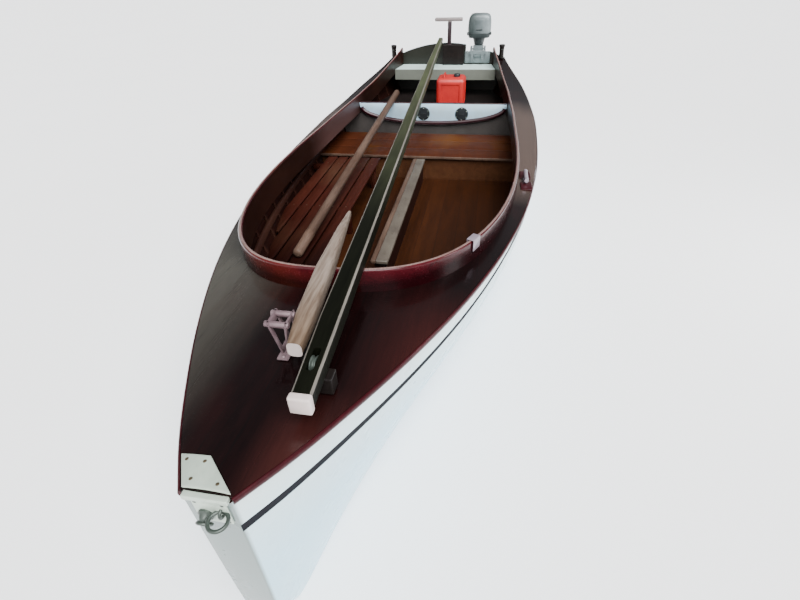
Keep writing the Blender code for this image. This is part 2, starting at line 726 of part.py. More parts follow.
def build_tabernacle():
    """A bent plate fitting: base, two cheeks and two pins across them."""
    aft, front = TABERNACLE_X
    starboard, port = TABERNACLE_Y
    base = seat_on_deck(aft - 0.02, front + 0.02, starboard, port)
    made = box("tabernacle", (aft - 0.02, starboard, base), (front + 0.02, port, base + 0.006), "steel")
    for k, (near, far) in enumerate(((starboard, starboard + 0.006), (port - 0.006, port))):
        join(made, box("cheek_%d" % k, (aft, near, base + 0.003), (front, far, base + TABERNACLE_UP),
                       None, CUTTERS))
    cut(made, box("cheek_window", (aft + 0.012, starboard - 0.01, base + 0.030),
                  (front - 0.012, port + 0.01, base + TABERNACLE_UP - 0.030), None, CUTTERS))
    for k, x in enumerate((aft + 0.012, front - 0.012)):
        level = base + TABERNACLE_UP - 0.014
        join(made, rod("cheek_pin_%d" % k, (x, starboard - 0.006, level), (x, port + 0.006, level), 0.007,
                       None, CUTTERS, sides=12))


def build_stemhead():
    """A plate that covers the deck's starboard corner at the bow, and a nose plate with its ring."""
    rings = []
    for x in steps_between(*STEM_PLATE, 6):
        edge = half_beam(x) - 0.004
        port = min(edge, STEM_PLATE_SIDE + STEM_PLATE_FLARE * (x - STEM_PLATE[0]))
        across = steps_between(-edge, port, 4)
        under = [(x, y, deck_top(x, y) + 0.0012) for y in across]
        over = [(x, y, deck_top(x, y) + 0.0062) for y in reversed(across)]
        rings.append(under + over)
    loft("stemhead_plate", rings, "steel", smooth=False)
    nose = sheer_z(LENGTH)
    face = box("stem_nose", (LENGTH + GAP, -0.030, nose - 0.070), (LENGTH + 0.006, 0.044, nose + 0.010),
               "steel", round_edge=0.002)
    join(face, ring("stem_ring", (LENGTH + 0.024, *STEM_RING), 0.020, 0.0035, (0, 0, 0), None, CUTTERS))


def build_cleats():
    x, y = SIDE_CLEAT
    for side, name in ((1, "side_cleat_port"), (-1, "side_cleat_starboard")):
        at = y * side
        base = seat_on_deck(x - 0.030, x + 0.030, at - 0.014, at + 0.014)
        cleat = box(name, (x - 0.030, at - 0.014, base), (x + 0.030, at + 0.014, base + 0.026), "steel",
                    round_edge=0.003)
        join(cleat, rod(name + "_horn", (x - 0.062, at, base + 0.030), (x + 0.062, at, base + 0.030), 0.009,
                        None, CUTTERS, sides=12))


def build_rudder():
    """Rudder blade and head, which turn together on two pins held by arms on the transom."""
    axis = RUDDER_X
    outline = [(axis + 0.030, 0.42), (axis + 0.030, -0.34), (axis - 0.04, -0.46), (axis - 0.17, -0.47),
               (axis - 0.215, -0.38), (axis - 0.20, -0.05), (axis - 0.11, 0.24), (axis - 0.10, 0.42)]
    blade = plate("rudder_blade", outline, "y", -0.014, 0.014, "mahogany", round_edge=0.004)
    for k, z in enumerate(GUDGEON_Z):
        high = z + GUDGEON_TALL
        cut(blade, box("arm_room_%d" % k, (axis - 0.034, -0.03, z - 0.006), (axis + 0.04, 0.03, high + 0.006),
                       None, CUTTERS))
        join(blade, rod("pintle_%d" % k, (axis, 0, z - 0.012), (axis, 0, high + 0.012), PIN_R, None, CUTTERS))
        arm = box("gudgeon_%d" % (k + 1), (axis - 0.020, -0.016, z), (-TRANSOM_THICK - 2 * GAP, 0.016, high),
                  "steel")
        cut(arm, rod("gudgeon_bore_%d" % k, (axis, 0, z - 0.01), (axis, 0, high + 0.01), PIN_R + PIN_PLAY,
                     None, CUTTERS))
    pivot(blade, (axis, 0, 0))
    head = box("rudder_head", (axis - 0.10, -0.028, 0.42 + GAP), (axis + 0.022, 0.028, 0.690),
               "dark_wood", round_edge=0.006)
    pivot(head, (axis, 0, 0))


def build_clamp():
    """Motor clamp hooked over the transom, with two screws and the ears that hold the tilt pin."""
    y = MOTOR_Y
    back = -TRANSOM_THICK - 2 * GAP
    seat = NOTCH_Z + GAP
    clamp = box("motor_clamp", (back - 0.016, y - 0.085, 0.44), (back, y + 0.085, seat + 0.028),
                "grey", round_edge=0.003)
    join(clamp, box("clamp_hook", (back - 0.016, y - 0.085, seat), (0.034, y + 0.085, seat + 0.028),
                    None, CUTTERS))
    for side in (-1, 1):
        near, far = sorted((y + side * 0.040, y + side * 0.068))
        join(clamp, box("clamp_jaw", (0.014, near, seat - 0.060), (0.034, far, seat + 0.028),
                        None, CUTTERS))
        near, far = sorted((y + side * 0.062, y + side * 0.082))
        join(clamp, box("clamp_ear", (TILT_X - 0.028, near, TILT_Z - 0.030),
                        (back - 0.002, far, TILT_Z + 0.026), None, CUTTERS))
        screw = (y + side * 0.054, seat - 0.040)
        join(clamp, rod("clamp_screw", (0.0015, *screw), (0.085, *screw), 0.007, None, CUTTERS, sides=12))
        join(clamp, box("clamp_handle", (0.079, screw[0] - 0.005, screw[1] - 0.028),
                        (0.087, screw[0] + 0.005, screw[1] + 0.028), None, CUTTERS))
    join(clamp, rod("tilt_pin", (TILT_X, y - 0.07, TILT_Z), (TILT_X, y + 0.07, TILT_Z), PIN_R, None, CUTTERS))


def build_motor():
    """Swivel bracket that tilts, leg with cowl that steers in it, and propeller on its shaft."""
    build_clamp()
    y = MOTOR_Y
    top = TILT_Z + 0.022
    swivel = box("swivel_bracket", (STEER_X - 0.034, y - 0.036, 0.38), (STEER_X + 0.034, y + 0.036, top),
                 "grey", round_edge=0.006)
    join(swivel, box("swivel_arm", (STEER_X, y - 0.055, TILT_Z - 0.024), (TILT_X + 0.022, y + 0.055, top),
                     None, CUTTERS))
    cut(swivel, rod("swivel_bore", (STEER_X, y, 0.2), (STEER_X, y, 0.9), LEG_R + PIN_PLAY, None, CUTTERS))
    cut(swivel, rod("tilt_bore", (TILT_X, y - 0.1, TILT_Z), (TILT_X, y + 0.1, TILT_Z), PIN_R + PIN_PLAY,
                    None, CUTTERS))
    pivot(swivel, (TILT_X, y, TILT_Z))
    leg = rod("motor_leg", (STEER_X, y, PROP_Z + 0.02), (STEER_X, y, COWL_Z[0] - 0.02), LEG_R, "grey")
    fairing = [(STEER_X + 0.04, 0.36), (STEER_X + 0.035, PROP_Z), (STEER_X - 0.06, PROP_Z),
               (STEER_X - 0.075, 0.36)]
    join(leg, plate("leg_fairing", fairing, "y", y - 0.018, y + 0.018, None, CUTTERS))
    join(leg, rod("gear_case", (STEER_X + 0.085, y, PROP_Z), (STEER_X - 0.10, y, PROP_Z), 0.032,
                  None, CUTTERS))
    join(leg, rod("prop_shaft", (STEER_X, y, PROP_Z), (STEER_X - 0.150, y, PROP_Z), PIN_R, None, CUTTERS))
    join(leg, box("skeg_fin", (STEER_X - 0.06, y - 0.005, PROP_Z - 0.11),
                  (STEER_X + 0.02, y + 0.005, PROP_Z), None, CUTTERS))
    join(leg, box("splash_plate", (STEER_X - 0.13, y - 0.060, PROP_Z + 0.118),
                  (STEER_X + 0.06, y + 0.060, PROP_Z + 0.124), None, CUTTERS))
    join(leg, rod("leg_neck", (STEER_X - 0.02, y, top + PIN_PLAY), (STEER_X - 0.02, y, COWL_Z[0] - GAP),
                  0.052, None, CUTTERS, sides=24, radius_end=0.070))
    build_cowl()
    hub = rod("propeller", (STEER_X - 0.105, y, PROP_Z), (STEER_X - 0.165, y, PROP_Z), 0.026, "grey")
    for k in range(3):
        turn = 2 * math.pi * k / 3
        bm = bmesh.new()
        bmesh.ops.create_cube(bm, size=1.0)
        bmesh.ops.scale(bm, vec=(0.006, 0.058, 0.072), verts=bm.verts)
        bmesh.ops.translate(bm, vec=(0, 0, 0.055), verts=bm.verts)
        bmesh.ops.rotate(bm, matrix=Matrix.Rotation(math.radians(28), 3, "Z"), verts=bm.verts)
        bmesh.ops.rotate(bm, matrix=Matrix.Rotation(turn, 3, "X"), verts=bm.verts)
        blade = from_bmesh("prop_blade_%d" % k, bm, None, CUTTERS)
        blade.location = (STEER_X - 0.135, y, PROP_Z)
        join(hub, blade)
    cut(hub, rod("hub_bore", (STEER_X - 0.09, y, PROP_Z), (STEER_X - 0.155, y, PROP_Z), PIN_R + PIN_PLAY,
                 None, CUTTERS))


def build_cowl():
    """Motor cowl: rounded outlines stacked upwards, drawn in at the top."""
    low, high = COWL_Z
    rings = []
    # Share of the height, share of the plan size.
    for rise, size in ((0.0, 0.90), (0.06, 0.97), (0.40, 1.0), (0.72, 0.96), (0.90, 0.86), (1.0, 0.62)):
        points = []
        for i in range(24):
            turn = 2 * math.pi * i / 24
            along = math.copysign(abs(math.cos(turn)) ** 0.55, math.cos(turn))
            side = math.copysign(abs(math.sin(turn)) ** 0.55, math.sin(turn)) * COWL_HALF
            reach = COWL_FRONT if along > 0 else COWL_BACK
            points.append((STEER_X + along * reach * size, MOTOR_Y + side * size,
                           low + (high - low) * rise))
        rings.append(points)
    pivot(loft("motor_cowl", rings, "grey"), (STEER_X, MOTOR_Y, 0))


def build_board():
    """Centreboard, round at its pivot and raised into the trunk."""
    px, pz = BOARD_PIVOT
    outline = []
    for i in range(9):
        turn = math.radians(-100 + 170 * i / 8)
        outline.append((px + 0.10 * math.cos(turn), pz + 0.10 * math.sin(turn)))
    outline += [(px - 0.25, pz + 0.22), (px - BOARD_LONG + 0.20, pz + 0.20),
                (px - BOARD_LONG, pz - 0.02), (px - BOARD_LONG + 0.04, pz - 0.10)]
    board = plate("centreboard", outline, "y", -BOARD_THICK / 2, BOARD_THICK / 2, "grey")
    cut(board, rod("board_bore", (px, -0.03, pz), (px, 0.03, pz), BOARD_PIN_R + PIN_PLAY, None, CUTTERS))
    pivot(board, (px, 0, pz))


build_hull()
build_keel()
build_deck()
build_coaming()
build_rails()
build_inside()
build_stern()
build_spars()
build_fittings()
build_rudder()
build_motor()
build_board()
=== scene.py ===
from math import atan2, copysign, cos, hypot, pi, radians, sin, sqrt

import bmesh
import bpy
from mathutils import Matrix, Vector


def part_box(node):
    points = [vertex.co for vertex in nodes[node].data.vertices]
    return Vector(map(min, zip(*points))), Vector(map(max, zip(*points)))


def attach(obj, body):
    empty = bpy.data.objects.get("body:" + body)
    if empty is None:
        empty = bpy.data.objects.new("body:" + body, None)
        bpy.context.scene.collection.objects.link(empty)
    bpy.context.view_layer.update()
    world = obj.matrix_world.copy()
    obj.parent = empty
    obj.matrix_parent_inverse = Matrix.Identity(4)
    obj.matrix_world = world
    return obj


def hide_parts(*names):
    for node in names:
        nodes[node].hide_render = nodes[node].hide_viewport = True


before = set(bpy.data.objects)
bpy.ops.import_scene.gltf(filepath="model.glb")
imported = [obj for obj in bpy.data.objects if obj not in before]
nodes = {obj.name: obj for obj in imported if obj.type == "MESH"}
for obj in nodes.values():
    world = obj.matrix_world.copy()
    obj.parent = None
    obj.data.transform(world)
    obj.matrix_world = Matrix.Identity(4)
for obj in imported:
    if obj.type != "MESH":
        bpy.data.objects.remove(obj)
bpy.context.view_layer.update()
print("stage: frame loaded")

# The boat's own lines, in metres, as in the part's source.
boat = {"length": 5.2, "sheerLow": 0.446, "sheerBow": 0.676, "sheerStern": 0.615, "sheerLowAt": 0.72,
        "plank": 0.014, "keelHalf": 0.042, "deckThick": 0.012, "camber": 0.035, "gap": 0.0003,
        "archTop": 0.762, "arch": 0.145}

# Share of the length from the bow, half beam, bottom, fullness of the section.
stations = [(0.00, 0.050, 0.150, 1.60), (0.02, 0.116, -0.020, 1.35), (0.06, 0.228, -0.110, 1.30),
            (0.15, 0.438, -0.160, 1.45), (0.28, 0.647, -0.195, 1.80), (0.42, 0.773, -0.210, 2.15),
            (0.56, 0.831, -0.205, 2.35), (0.70, 0.845, -0.175, 2.40), (0.85, 0.784, -0.105, 2.30),
            (1.00, 0.606, -0.005, 2.20)]

# Cockpit opening: places and half widths along the sides, then a round front.
cockpit = {"sides": [(-0.10, 0.488), (0.50, 0.575), (1.20, 0.650), (1.90, 0.680), (2.60, 0.686)],
           "front": 4.44, "power": 2.45, "thick": 0.018, "up": 0.085, "down": 0.060, "aft": 0.012}


def addObject(name, data):
    made = bpy.data.objects.new(name, data)
    bpy.context.scene.collection.objects.link(made)
    return made


# Camera, fitted to the photograph: place in metres, angles in degrees, focal length in its pixels.
view = {"place": (5.604, 0.480, 1.510), "yaw": 11.175, "pitch": 36.764, "roll": -2.129,
        "focal": 457.65, "width": 800, "sensor": 36.0, "reach": 60}


def makeCamera():
    yaw, pitch, roll = (radians(view[k]) for k in ("yaw", "pitch", "roll"))
    ahead = Vector((-cos(yaw) * cos(pitch), -sin(yaw) * cos(pitch), -sin(pitch)))
    side = Vector((-sin(yaw), cos(yaw), 0))
    up = side.cross(ahead)
    right = side * cos(roll) + up * sin(roll)
    top = up * cos(roll) - side * sin(roll)
    turn = Matrix((right, top, -ahead)).transposed()
    camera = addObject("camera", bpy.data.cameras.new("camera"))
    camera.data.sensor_width = view["sensor"]
    camera.data.lens = view["focal"] / view["width"] * view["sensor"]
    camera.data.clip_end = view["reach"]
    camera.matrix_world = Matrix.Translation(view["place"]) @ turn.to_4x4()
    bpy.context.scene.camera = camera


# Soft studio: a dim surround, two broad suns (direction, strength, degrees) and a weak lamp in watts.
studio = {"surround": (0.90, 0.95, 1.0), "strength": 0.30,
          "suns": (("mainSun", (0.46, 0.38, 0.80), 9.5, 50), ("fillSun", (0.75, -0.35, 0.56), 2.1, 70)),
          "lampPlace": (3.2, 3.4, 1.6), "lampAim": (3.6, 0.3, 0.55), "lampSize": 0.8, "lampPower": 40}


def addLight(name, kind, direction, power, place=(0, 0, 0)):
    light = bpy.data.lights.new(name, kind)
    light.energy = power
    made = addObject(name, light)
    made.location = place
    made.rotation_euler = (-Vector(direction)).to_track_quat("-Z", "Y").to_euler()
    return light


def makeStudio():
    world = bpy.data.worlds.new("studio")
    world.use_nodes = True
    back = world.node_tree.nodes["Background"]
    back.inputs["Color"].default_value = (*studio["surround"], 1)
    back.inputs["Strength"].default_value = studio["strength"]
    bpy.context.scene.world = world
    for name, direction, strength, wide in studio["suns"]:
        addLight(name, "SUN", direction, strength).angle = radians(wide)
    place = studio["lampPlace"]
    direction = Vector(place) - Vector(studio["lampAim"])
    addLight("edgeLamp", "AREA", direction, studio["lampPower"], place).size = studio["lampSize"]


# Makes an operator of a Math node; swapped, the other value comes first.
def mathOf(operation, swapped=False):
    def work(value, other=0.0):
        first, second = (other, value) if swapped else (value, other)
        return value.look.node("Math", {"operation": operation}, {0: first, 1: second})
    return work


# One socket's value, which can stand in sums like a number.
class Value:
    __add__ = mathOf("ADD")
    __sub__ = mathOf("SUBTRACT")
    __rsub__ = mathOf("SUBTRACT", swapped=True)
    __mul__ = mathOf("MULTIPLY")
    __truediv__ = mathOf("DIVIDE")
    __lt__ = mathOf("LESS_THAN")
    __gt__ = mathOf("GREATER_THAN")
    __abs__ = mathOf("ABSOLUTE")
    part = mathOf("FRACT")
    floor = mathOf("FLOOR")
    atLeast = mathOf("MAXIMUM")

    def __init__(self, look, socket):
        self.look, self.socket = look, socket

    def between(self, low, high):
        return self.look.node("Clamp", {}, {0: (self - low) / (high - low), 1: 0.0, 2: 1.0})


# A material built from nodes; fixed sockets are given by name.
class Look:
    def __init__(self, name, **fixed):
        self.material = bpy.data.materials.new(name)
        self.material.use_nodes = True
        self.tree = self.material.node_tree
        self.shader = self.tree.nodes["Principled BSDF"]
        self.place = self.node("TexCoord", {}, {}, "Object")
        self.paint(**fixed)

    def node(self, kind, settings, values, out=0):
        made = self.tree.nodes.new("ShaderNode" + kind)
        for name, setting in settings.items():
            if name == "stops":
                for stop, (place, color) in zip(made.color_ramp.elements, setting):
                    stop.position, stop.color = place, (*color, 1)
            else:
                setattr(made, name, setting)
        for key, value in values.items():
            self.feed(made.inputs[key], value)
        return Value(self, made.outputs[out])

    def feed(self, socket, value):
        if isinstance(value, Value):
            self.tree.links.new(value.socket, socket)
        else:
            socket.default_value = (*value, 1) if socket.type == "RGBA" else value

    def axis(self, name):
        return self.node("SeparateXYZ", {}, {0: self.place}, name.upper())

    def noise(self, scale, detail=3.0, stretch=(1, 1, 1), rough=0.5, distortion=0.0):
        place = self.node("Mapping", {}, {"Vector": self.place, "Scale": stretch})
        return self.node("TexNoise", {}, {"Vector": place, "Scale": scale, "Detail": detail,
                                          "Roughness": rough, "Distortion": distortion}, "Fac")

    def mix(self, share, first, second, blend="MIX"):
        settings = {"data_type": "RGBA", "blend_type": blend}
        return self.node("Mix", settings, {0: share, 6: first, 7: second}, 2)

    def bump(self, height, strength, distance):
        values = {"Height": height, "Strength": strength, "Distance": distance}
        self.paint(Normal=self.node("Bump", {}, values))

    def paint(self, **sockets):
        for socket, value in sockets.items():
            self.feed(self.shader.inputs[socket.replace("_", " ")], value)
        return self.material


def atLeastZero(value):
    return value.atLeast(0.0) if isinstance(value, Value) else max(value, 0.0)


# Height of the sheer line at a place along the boat, which is a number or a shader's value.
def sheerAt(x):
    share = 1 - x / boat["length"]
    lowest = boat["sheerLowAt"]
    fore = atLeastZero((lowest - share) / lowest)
    aft = atLeastZero((share - lowest) / (1 - lowest))
    rise = fore * fore * (boat["sheerBow"] - boat["sheerLow"])
    return rise + aft * aft * (boat["sheerStern"] - boat["sheerLow"]) + boat["sheerLow"]


# White topsides; a dark line nears the sheer away from the bow, and the flat stem face is painted greyer as
# shade.
hullPaint = {"upper": (0.58, 0.68, 0.69), "lower": (0.41, 0.69, 0.85), "down": (0.02, 0.30),
             "shade": (0.46, 0.60, 0.64), "stem": (0.165, 0.20, 0.195), "stemShadeAt": (5.190, 5.198),
             "line": (0.008, 0.008, 0.011), "lineEnd": 5.1985, "lineDown": 0.098, "lineRise": 0.064,
             "riseAt": (0.45, 1.75), "lineHalf": 0.0125, "lineSwell": 0.0035}


def makeHullPaint():
    look = Look("hullPaint", Coat_Roughness=0.08, Specular_IOR_Level=0.12)
    along = look.axis("x")
    down = sheerAt(along) - look.axis("z")
    color = look.mix(down.between(*hullPaint["down"]), hullPaint["upper"], hullPaint["lower"])
    shade = look.noise(2.2, 3.0, (1, 1, 1.6)).between(0.35, 0.75) * 0.5
    color = look.mix(shade, color, hullPaint["shade"])
    # Painted shade: the flat stem face is greyer.
    color = look.mix(along.between(*hullPaint["stemShadeAt"]), color, hullPaint["stem"])
    back = (boat["length"] - along).between(*hullPaint["riseAt"])
    middle = hullPaint["lineDown"] - back * back * (3 - back * 2) * hullPaint["lineRise"]
    half = back * hullPaint["lineSwell"] + hullPaint["lineHalf"]
    line = (abs(down - middle) < half) * (along < hullPaint["lineEnd"]) * (along > 0.0)
    look.bump(look.noise(240, 2.0) * 0.05 + look.noise(5.5, 2.0, (1, 1, 2.5)), 0.10, 0.004)
    return look.paint(Base_Color=look.mix(line, color, hullPaint["line"]), Coat_Weight=(1 - line) * 0.25,
                      Roughness=look.noise(9, 3.0) * 0.12 + line * 0.6 + 0.22)


# Woods: dark, light and blotch tones, share of blotches, roughness, weight of the coat.
woods = {
    "deckWood": ((0.002, 0.0008, 0.0009), (0.0068, 0.002, 0.0021), (0.034, 0.005, 0.004), 0.3, 0.14, 0.12),
    "coamingWood": ((0.019, 0.0011, 0.0026), (0.06, 0.0036, 0.0075), (0.17, 0.03, 0.008), 0.45, 0.18, 0.15),
    "railWood": ((0.014, 0.0012, 0.0026), (0.036, 0.003, 0.0055), (0.06, 0.008, 0.008), 0.3, 0.25, 0.08),
    # Darker copy of the coaming's wood for its inward faces: painted shade.
    "coamingShadeWood": ((0.004, 0.0012, 0.0008), (0.016, 0.0055, 0.0038), (0.04, 0.014, 0.009), 0.35, 0.3, 0.05),
    "edgeWood": ((0.09, 0.045, 0.04), (0.2, 0.135, 0.12), (0.26, 0.2, 0.17), 0.4, 0.25, 0.2),
    "floorWood": ((0.0115, 0.0036, 0.0013), (0.038, 0.0115, 0.0036), (0.075, 0.023, 0.004), 0.45, 0.42, 0),
    "riserWood": ((0.03, 0.011, 0.005), (0.07, 0.028, 0.012), (0.09, 0.04, 0.015), 0.4, 0.36, 0.05),
    "seatWood": ((0.021, 0.0045, 0.0017), (0.054, 0.0145, 0.0052), (0.095, 0.034, 0.003), 0.6, 0.44, 0),
    "benchWood": ((0.014, 0.0026, 0.0015), (0.047, 0.0115, 0.0068), (0.068, 0.036, 0.02), 0.5, 0.44, 0),
    "ceilingWood": ((0.0045, 0.0014, 0.001), (0.017, 0.0048, 0.0034), (0.034, 0.007, 0.005), 0.4, 0.4, 0.04),
    "ribWood": ((0.012, 0.004, 0.003), (0.034, 0.012, 0.008), (0.05, 0.022, 0.013), 0.4, 0.42, 0.04),
    "darkWood": ((0.0036, 0.0028, 0.0026), (0.012, 0.009, 0.0082), (0.02, 0.014, 0.014), 0.3, 0.32, 0.08),
    "sparWood": ((0.017, 0.02, 0.01), (0.058, 0.065, 0.035), (0.08, 0.097, 0.046), 0.5, 0.4, 0),
    # Pale wood for the mast's upper corners: painted highlights.
    "cornerHighlightWood": ((0.045, 0.04, 0.034), (0.16, 0.145, 0.125), (0.22, 0.21, 0.19), 0.4, 0.42, 0.05),
    "paleWood": ((0.06, 0.036, 0.024), (0.26, 0.215, 0.18), (0.42, 0.4, 0.39), 0.5, 0.45, 0.05),
    "tanWood": ((0.03, 0.015, 0.01), (0.098, 0.062, 0.045), (0.15, 0.105, 0.08), 0.4, 0.42, 0.05),
}

# Specular levels of the duller woods; the others have the shine that follows.
dull = {"floorWood": 0.08, "seatWood": 0.08, "benchWood": 0.08, "sparWood": 0.07}
shine = 0.14

# Widths of boards and of their seams, across the boat.
boards = {"deckWood": (0.070, 0.0010), "floorWood": (0.115, 0.0012)}

# Painted sheen: paler patches where the varnish catches the sky, given by where they begin forward, aft and
# sideways, as ramps, and their tone.
sheenPatches = {"deckWood": (((3.5, 3.0), (1.2, 1.7), (0.780, 0.725), (0.047, 0.031, 0.026)),
                     ((3.5, 3.0), (1.2, 1.7), (-0.780, -0.725), (0.062, 0.042, 0.034)),
                     ((5.1, 4.9), (4.3, 4.7), (0.16, 0.36), (0.024, 0.0055, 0.0050)),
                     ((5.2, 4.95), (3.6, 4.3), (-0.10, -0.42), (0.046, 0.043, 0.036)),
                     ((5.4, 5.2), (4.86, 5.08), (0.03, 0.11), (0.027, 0.0075, 0.0065))),
        "coamingShadeWood": (((2.7, 2.3), (1.3, 1.7), (-0.50, -0.60), (0.060, 0.030, 0.028)),)}

# Slow changes of tone: the axis, or the height above the sheer, where they start and end, and their tone. The
# coaming's darker lower face is a painted reflection of the dark deck; the bench's darker front and the
# cowl's darker starboard side are painted shade; the spars darken towards their forward ends.
# Painted reflection of the dark deck on the coaming's lower face.
fades = {"coamingWood": ("height", 0.112, 0.066, (0.22, 0.25, 0.25)),
         # Painted shade under the foredeck on the bench's forward part.
         "benchWood": ("x", 3.0, 3.85, (0.12, 0.04, 0.02)),
         "sparWood": ("x", 2.2, 4.2, (0.070, 0.068, 0.066)),
         "paleWood": ("x", 4.54, 4.80, (0.62, 0.53, 0.44)),
         # Painted shade on the cowl's starboard side.
         "cowlPaint": ("y", 0.375, 0.255, (0.24, 0.27, 0.26))}

# Stretches of the grain and of the pores, along the boat and across it, and the tones of boards and seams.
grained = {"grain": (0.55, 6.5, 6.5), "pores": (0.033, 1, 1), "board": (0.45, 0.45, 0.45),
           "seam": (0.002, 0.0015, 0.0015)}


# Multiplies in a slow change of tone; the coaming's is a painted reflection, the bench's and the cowl's are
# painted shade.
def faded(look, name, color):
    if name not in fades:
        return color
    axis, start, end, tone = fades[name]
    place = look.axis("z") - sheerAt(look.axis("x")) if axis == "height" else look.axis(axis)
    return look.mix(place.between(start, end), color, tone, "MULTIPLY")


# Grain runs along the boat; boards are told apart by their tone, with dark seams between.
def makeWood(name):
    dark, light, blotch, blotches, rough, coat = woods[name]
    look = Look(name, Coat_Weight=coat, Coat_Roughness=0.06, Specular_IOR_Level=dull.get(name, shine))
    broad = look.noise(3.2, 4.0, grained["grain"], 0.6, 0.8)
    rings = look.noise(26, 3.0, grained["grain"], 0.55)
    pores = look.noise(150, 2.0, grained["pores"], 0.6)
    grain = broad * 0.5 + rings * 0.34 + pores * 0.16
    color = look.node("ValToRGB", {"stops": ((0.30, dark), (0.68, light))}, {0: grain})
    color = look.mix(look.noise(1.9, 3.0, (1, 1.6, 1.6)).between(0.52, 0.78) * blotches, color, blotch)
    height = pores * 0.5 + rings * 0.5
    if name in boards:
        board, seamWidth = boards[name]
        place = look.axis("y") / board
        shade = look.node("TexWhiteNoise", {"noise_dimensions": "1D"}, {"W": place.floor()})
        color = look.mix(shade * 0.35, color, grained["board"], "MULTIPLY")
        seam = abs((place + 0.5).part() - 0.5) < seamWidth / board
        color = look.mix(seam * 0.8, color, grained["seam"])
        height = height - seam * 3.0
    # Painted sheen: each patch turns paler, a little broken up by the grain.
    for front, aft, side, tone in sheenPatches.get(name, ()):
        patch = look.axis("x").between(*front) * look.axis("x").between(*aft) * look.axis("y").between(*side)
        color = look.mix(patch * (grain.between(0.30, 0.55) * 0.3 + 0.7), color, tone)
    look.bump(height, 0.10, 0.0010)
    return look.paint(Base_Color=faded(look, name, color), Roughness=grain * 0.16 + rough)


# Plain painted, moulded and metal finishes: tone, tone of the patches, roughness, metal.
finishes = {
    "apronPaint": ((0.46, 0.66, 0.80), (0.42, 0.55, 0.60), 0.30, 0.0),
    "greyPaint": ((0.047, 0.041, 0.038), (0.030, 0.025, 0.023), 0.45, 0.0),
    "creamPaint": ((0.52, 0.44, 0.42), (0.36, 0.30, 0.28), 0.42, 0.0),
    "trunkPaint": ((0.092, 0.078, 0.061), (0.052, 0.041, 0.032), 0.45, 0.0),
    "motorPaint": ((0.165, 0.20, 0.205), (0.115, 0.14, 0.145), 0.30, 0.15),
    "cowlPaint": ((0.19, 0.22, 0.225), (0.105, 0.13, 0.135), 0.30, 0.15),
    "motorDark": ((0.030, 0.040, 0.040), (0.017, 0.022, 0.023), 0.38, 0.1),
    "redPlastic": ((0.42, 0.016, 0.013), (0.30, 0.006, 0.007), 0.38, 0.0),
    "blackPlastic": ((0.004, 0.007, 0.009), (0.008, 0.011, 0.013), 0.42, 0.0),
    "steel": ((0.50, 0.58, 0.49), (0.33, 0.39, 0.33), 0.34, 0.35),
    "darkSteel": ((0.075, 0.090, 0.078), (0.030, 0.040, 0.034), 0.28, 0.5),
    "forkMetal": ((0.19, 0.135, 0.145), (0.085, 0.050, 0.060), 0.36, 0.35),
    "lilacMetal": ((0.34, 0.29, 0.34), (0.20, 0.16, 0.19), 0.30, 0.35),
    "bronze": ((0.20, 0.15, 0.095), (0.12, 0.11, 0.08), 0.35, 0.9),
    "trimPaint": ((0.022, 0.0015, 0.005), (0.012, 0.001, 0.003), 0.30, 0.0),
}

# Finishes that change along one axis: the axis, the place on it, the tones below and above.
turning = {
    "transomPaint": ("x", -0.0015, (0.50, 0.60, 0.63), (0.0060, 0.0060, 0.0022)),
    # Stern deck: white top, and its front fascia painted grey as shade.
    "sternShadedPaint": ("x", 0.2960, (0.50, 0.64, 0.61), (0.135, 0.146, 0.122)),
    "postWood": ("z", 0.9600, (0.020, 0.010, 0.013), (0.20, 0.17, 0.165)),
}


def makeFinish(name):
    tone, other, rough, metal = finishes[name]
    look = Look(name, Metallic=metal)
    patch = look.noise(7, 4.0, rough=0.65)
    specks = look.noise(90, 2.0)
    color = look.mix(patch.between(0.35, 0.72), tone, other)
    color = look.mix(specks.between(0.62, 0.80) * 0.35, color, other)
    look.bump(specks, 0.08, 0.0008)
    return look.paint(Base_Color=faded(look, name, color), Roughness=patch * 0.22 + rough - 0.05)


def makeTurning(name):
    axis, place, low, high = turning[name]
    look = Look(name)
    patch = look.noise(6, 4.0, rough=0.65)
    color = look.mix(look.axis(axis).between(place - 0.0005, place + 0.0005), low, high)
    color = look.mix(patch.between(0.35, 0.75) * 0.5, color, (0.6, 0.6, 0.6), "MULTIPLY")
    look.bump(look.noise(80, 2.0), 0.08, 0.0008)
    return look.paint(Base_Color=color, Roughness=patch * 0.2 + 0.28)


looks = {name: makeFinish(name) for name in finishes}
looks.update({name: makeTurning(name) for name in turning})
looks.update({name: makeWood(name) for name in woods})
looks["hullPaint"] = makeHullPaint()
print("stage: materials made")


def lerp(low, high, share):
    return low + (high - low) * share


# Slopes of a smooth curve through the stations, as the part's source has them.
def slopesOf(places, values):
    steps = [b - a for a, b in zip(places, places[1:])]
    rises = [(b - a) / step for a, b, step in zip(values, values[1:], steps)]
    between = [(back * far + front * near) / (near + far)
               for back, front, near, far in zip(rises, rises[1:], steps, steps[1:])]
    return rises[:1] + between + rises[-1:]


# A smooth curve through one column of the stations.
def stationAt(column, x):
    places = [row[0] for row in stations]
    values = [row[column] for row in stations]
    share = min(max(1 - x / boat["length"], 0.0), 1.0)
    k = max(i for i in range(len(places) - 1) if places[i] <= share)
    slopes = slopesOf(places, values)
    wide = places[k + 1] - places[k]
    t = (share - places[k]) / wide
    start = values[k] * (1 + 2 * t) * (1 - t) ** 2 + slopes[k] * wide * t * (1 - t) ** 2
    return start + values[k + 1] * t * t * (3 - 2 * t) + slopes[k + 1] * wide * t * t * (t - 1)


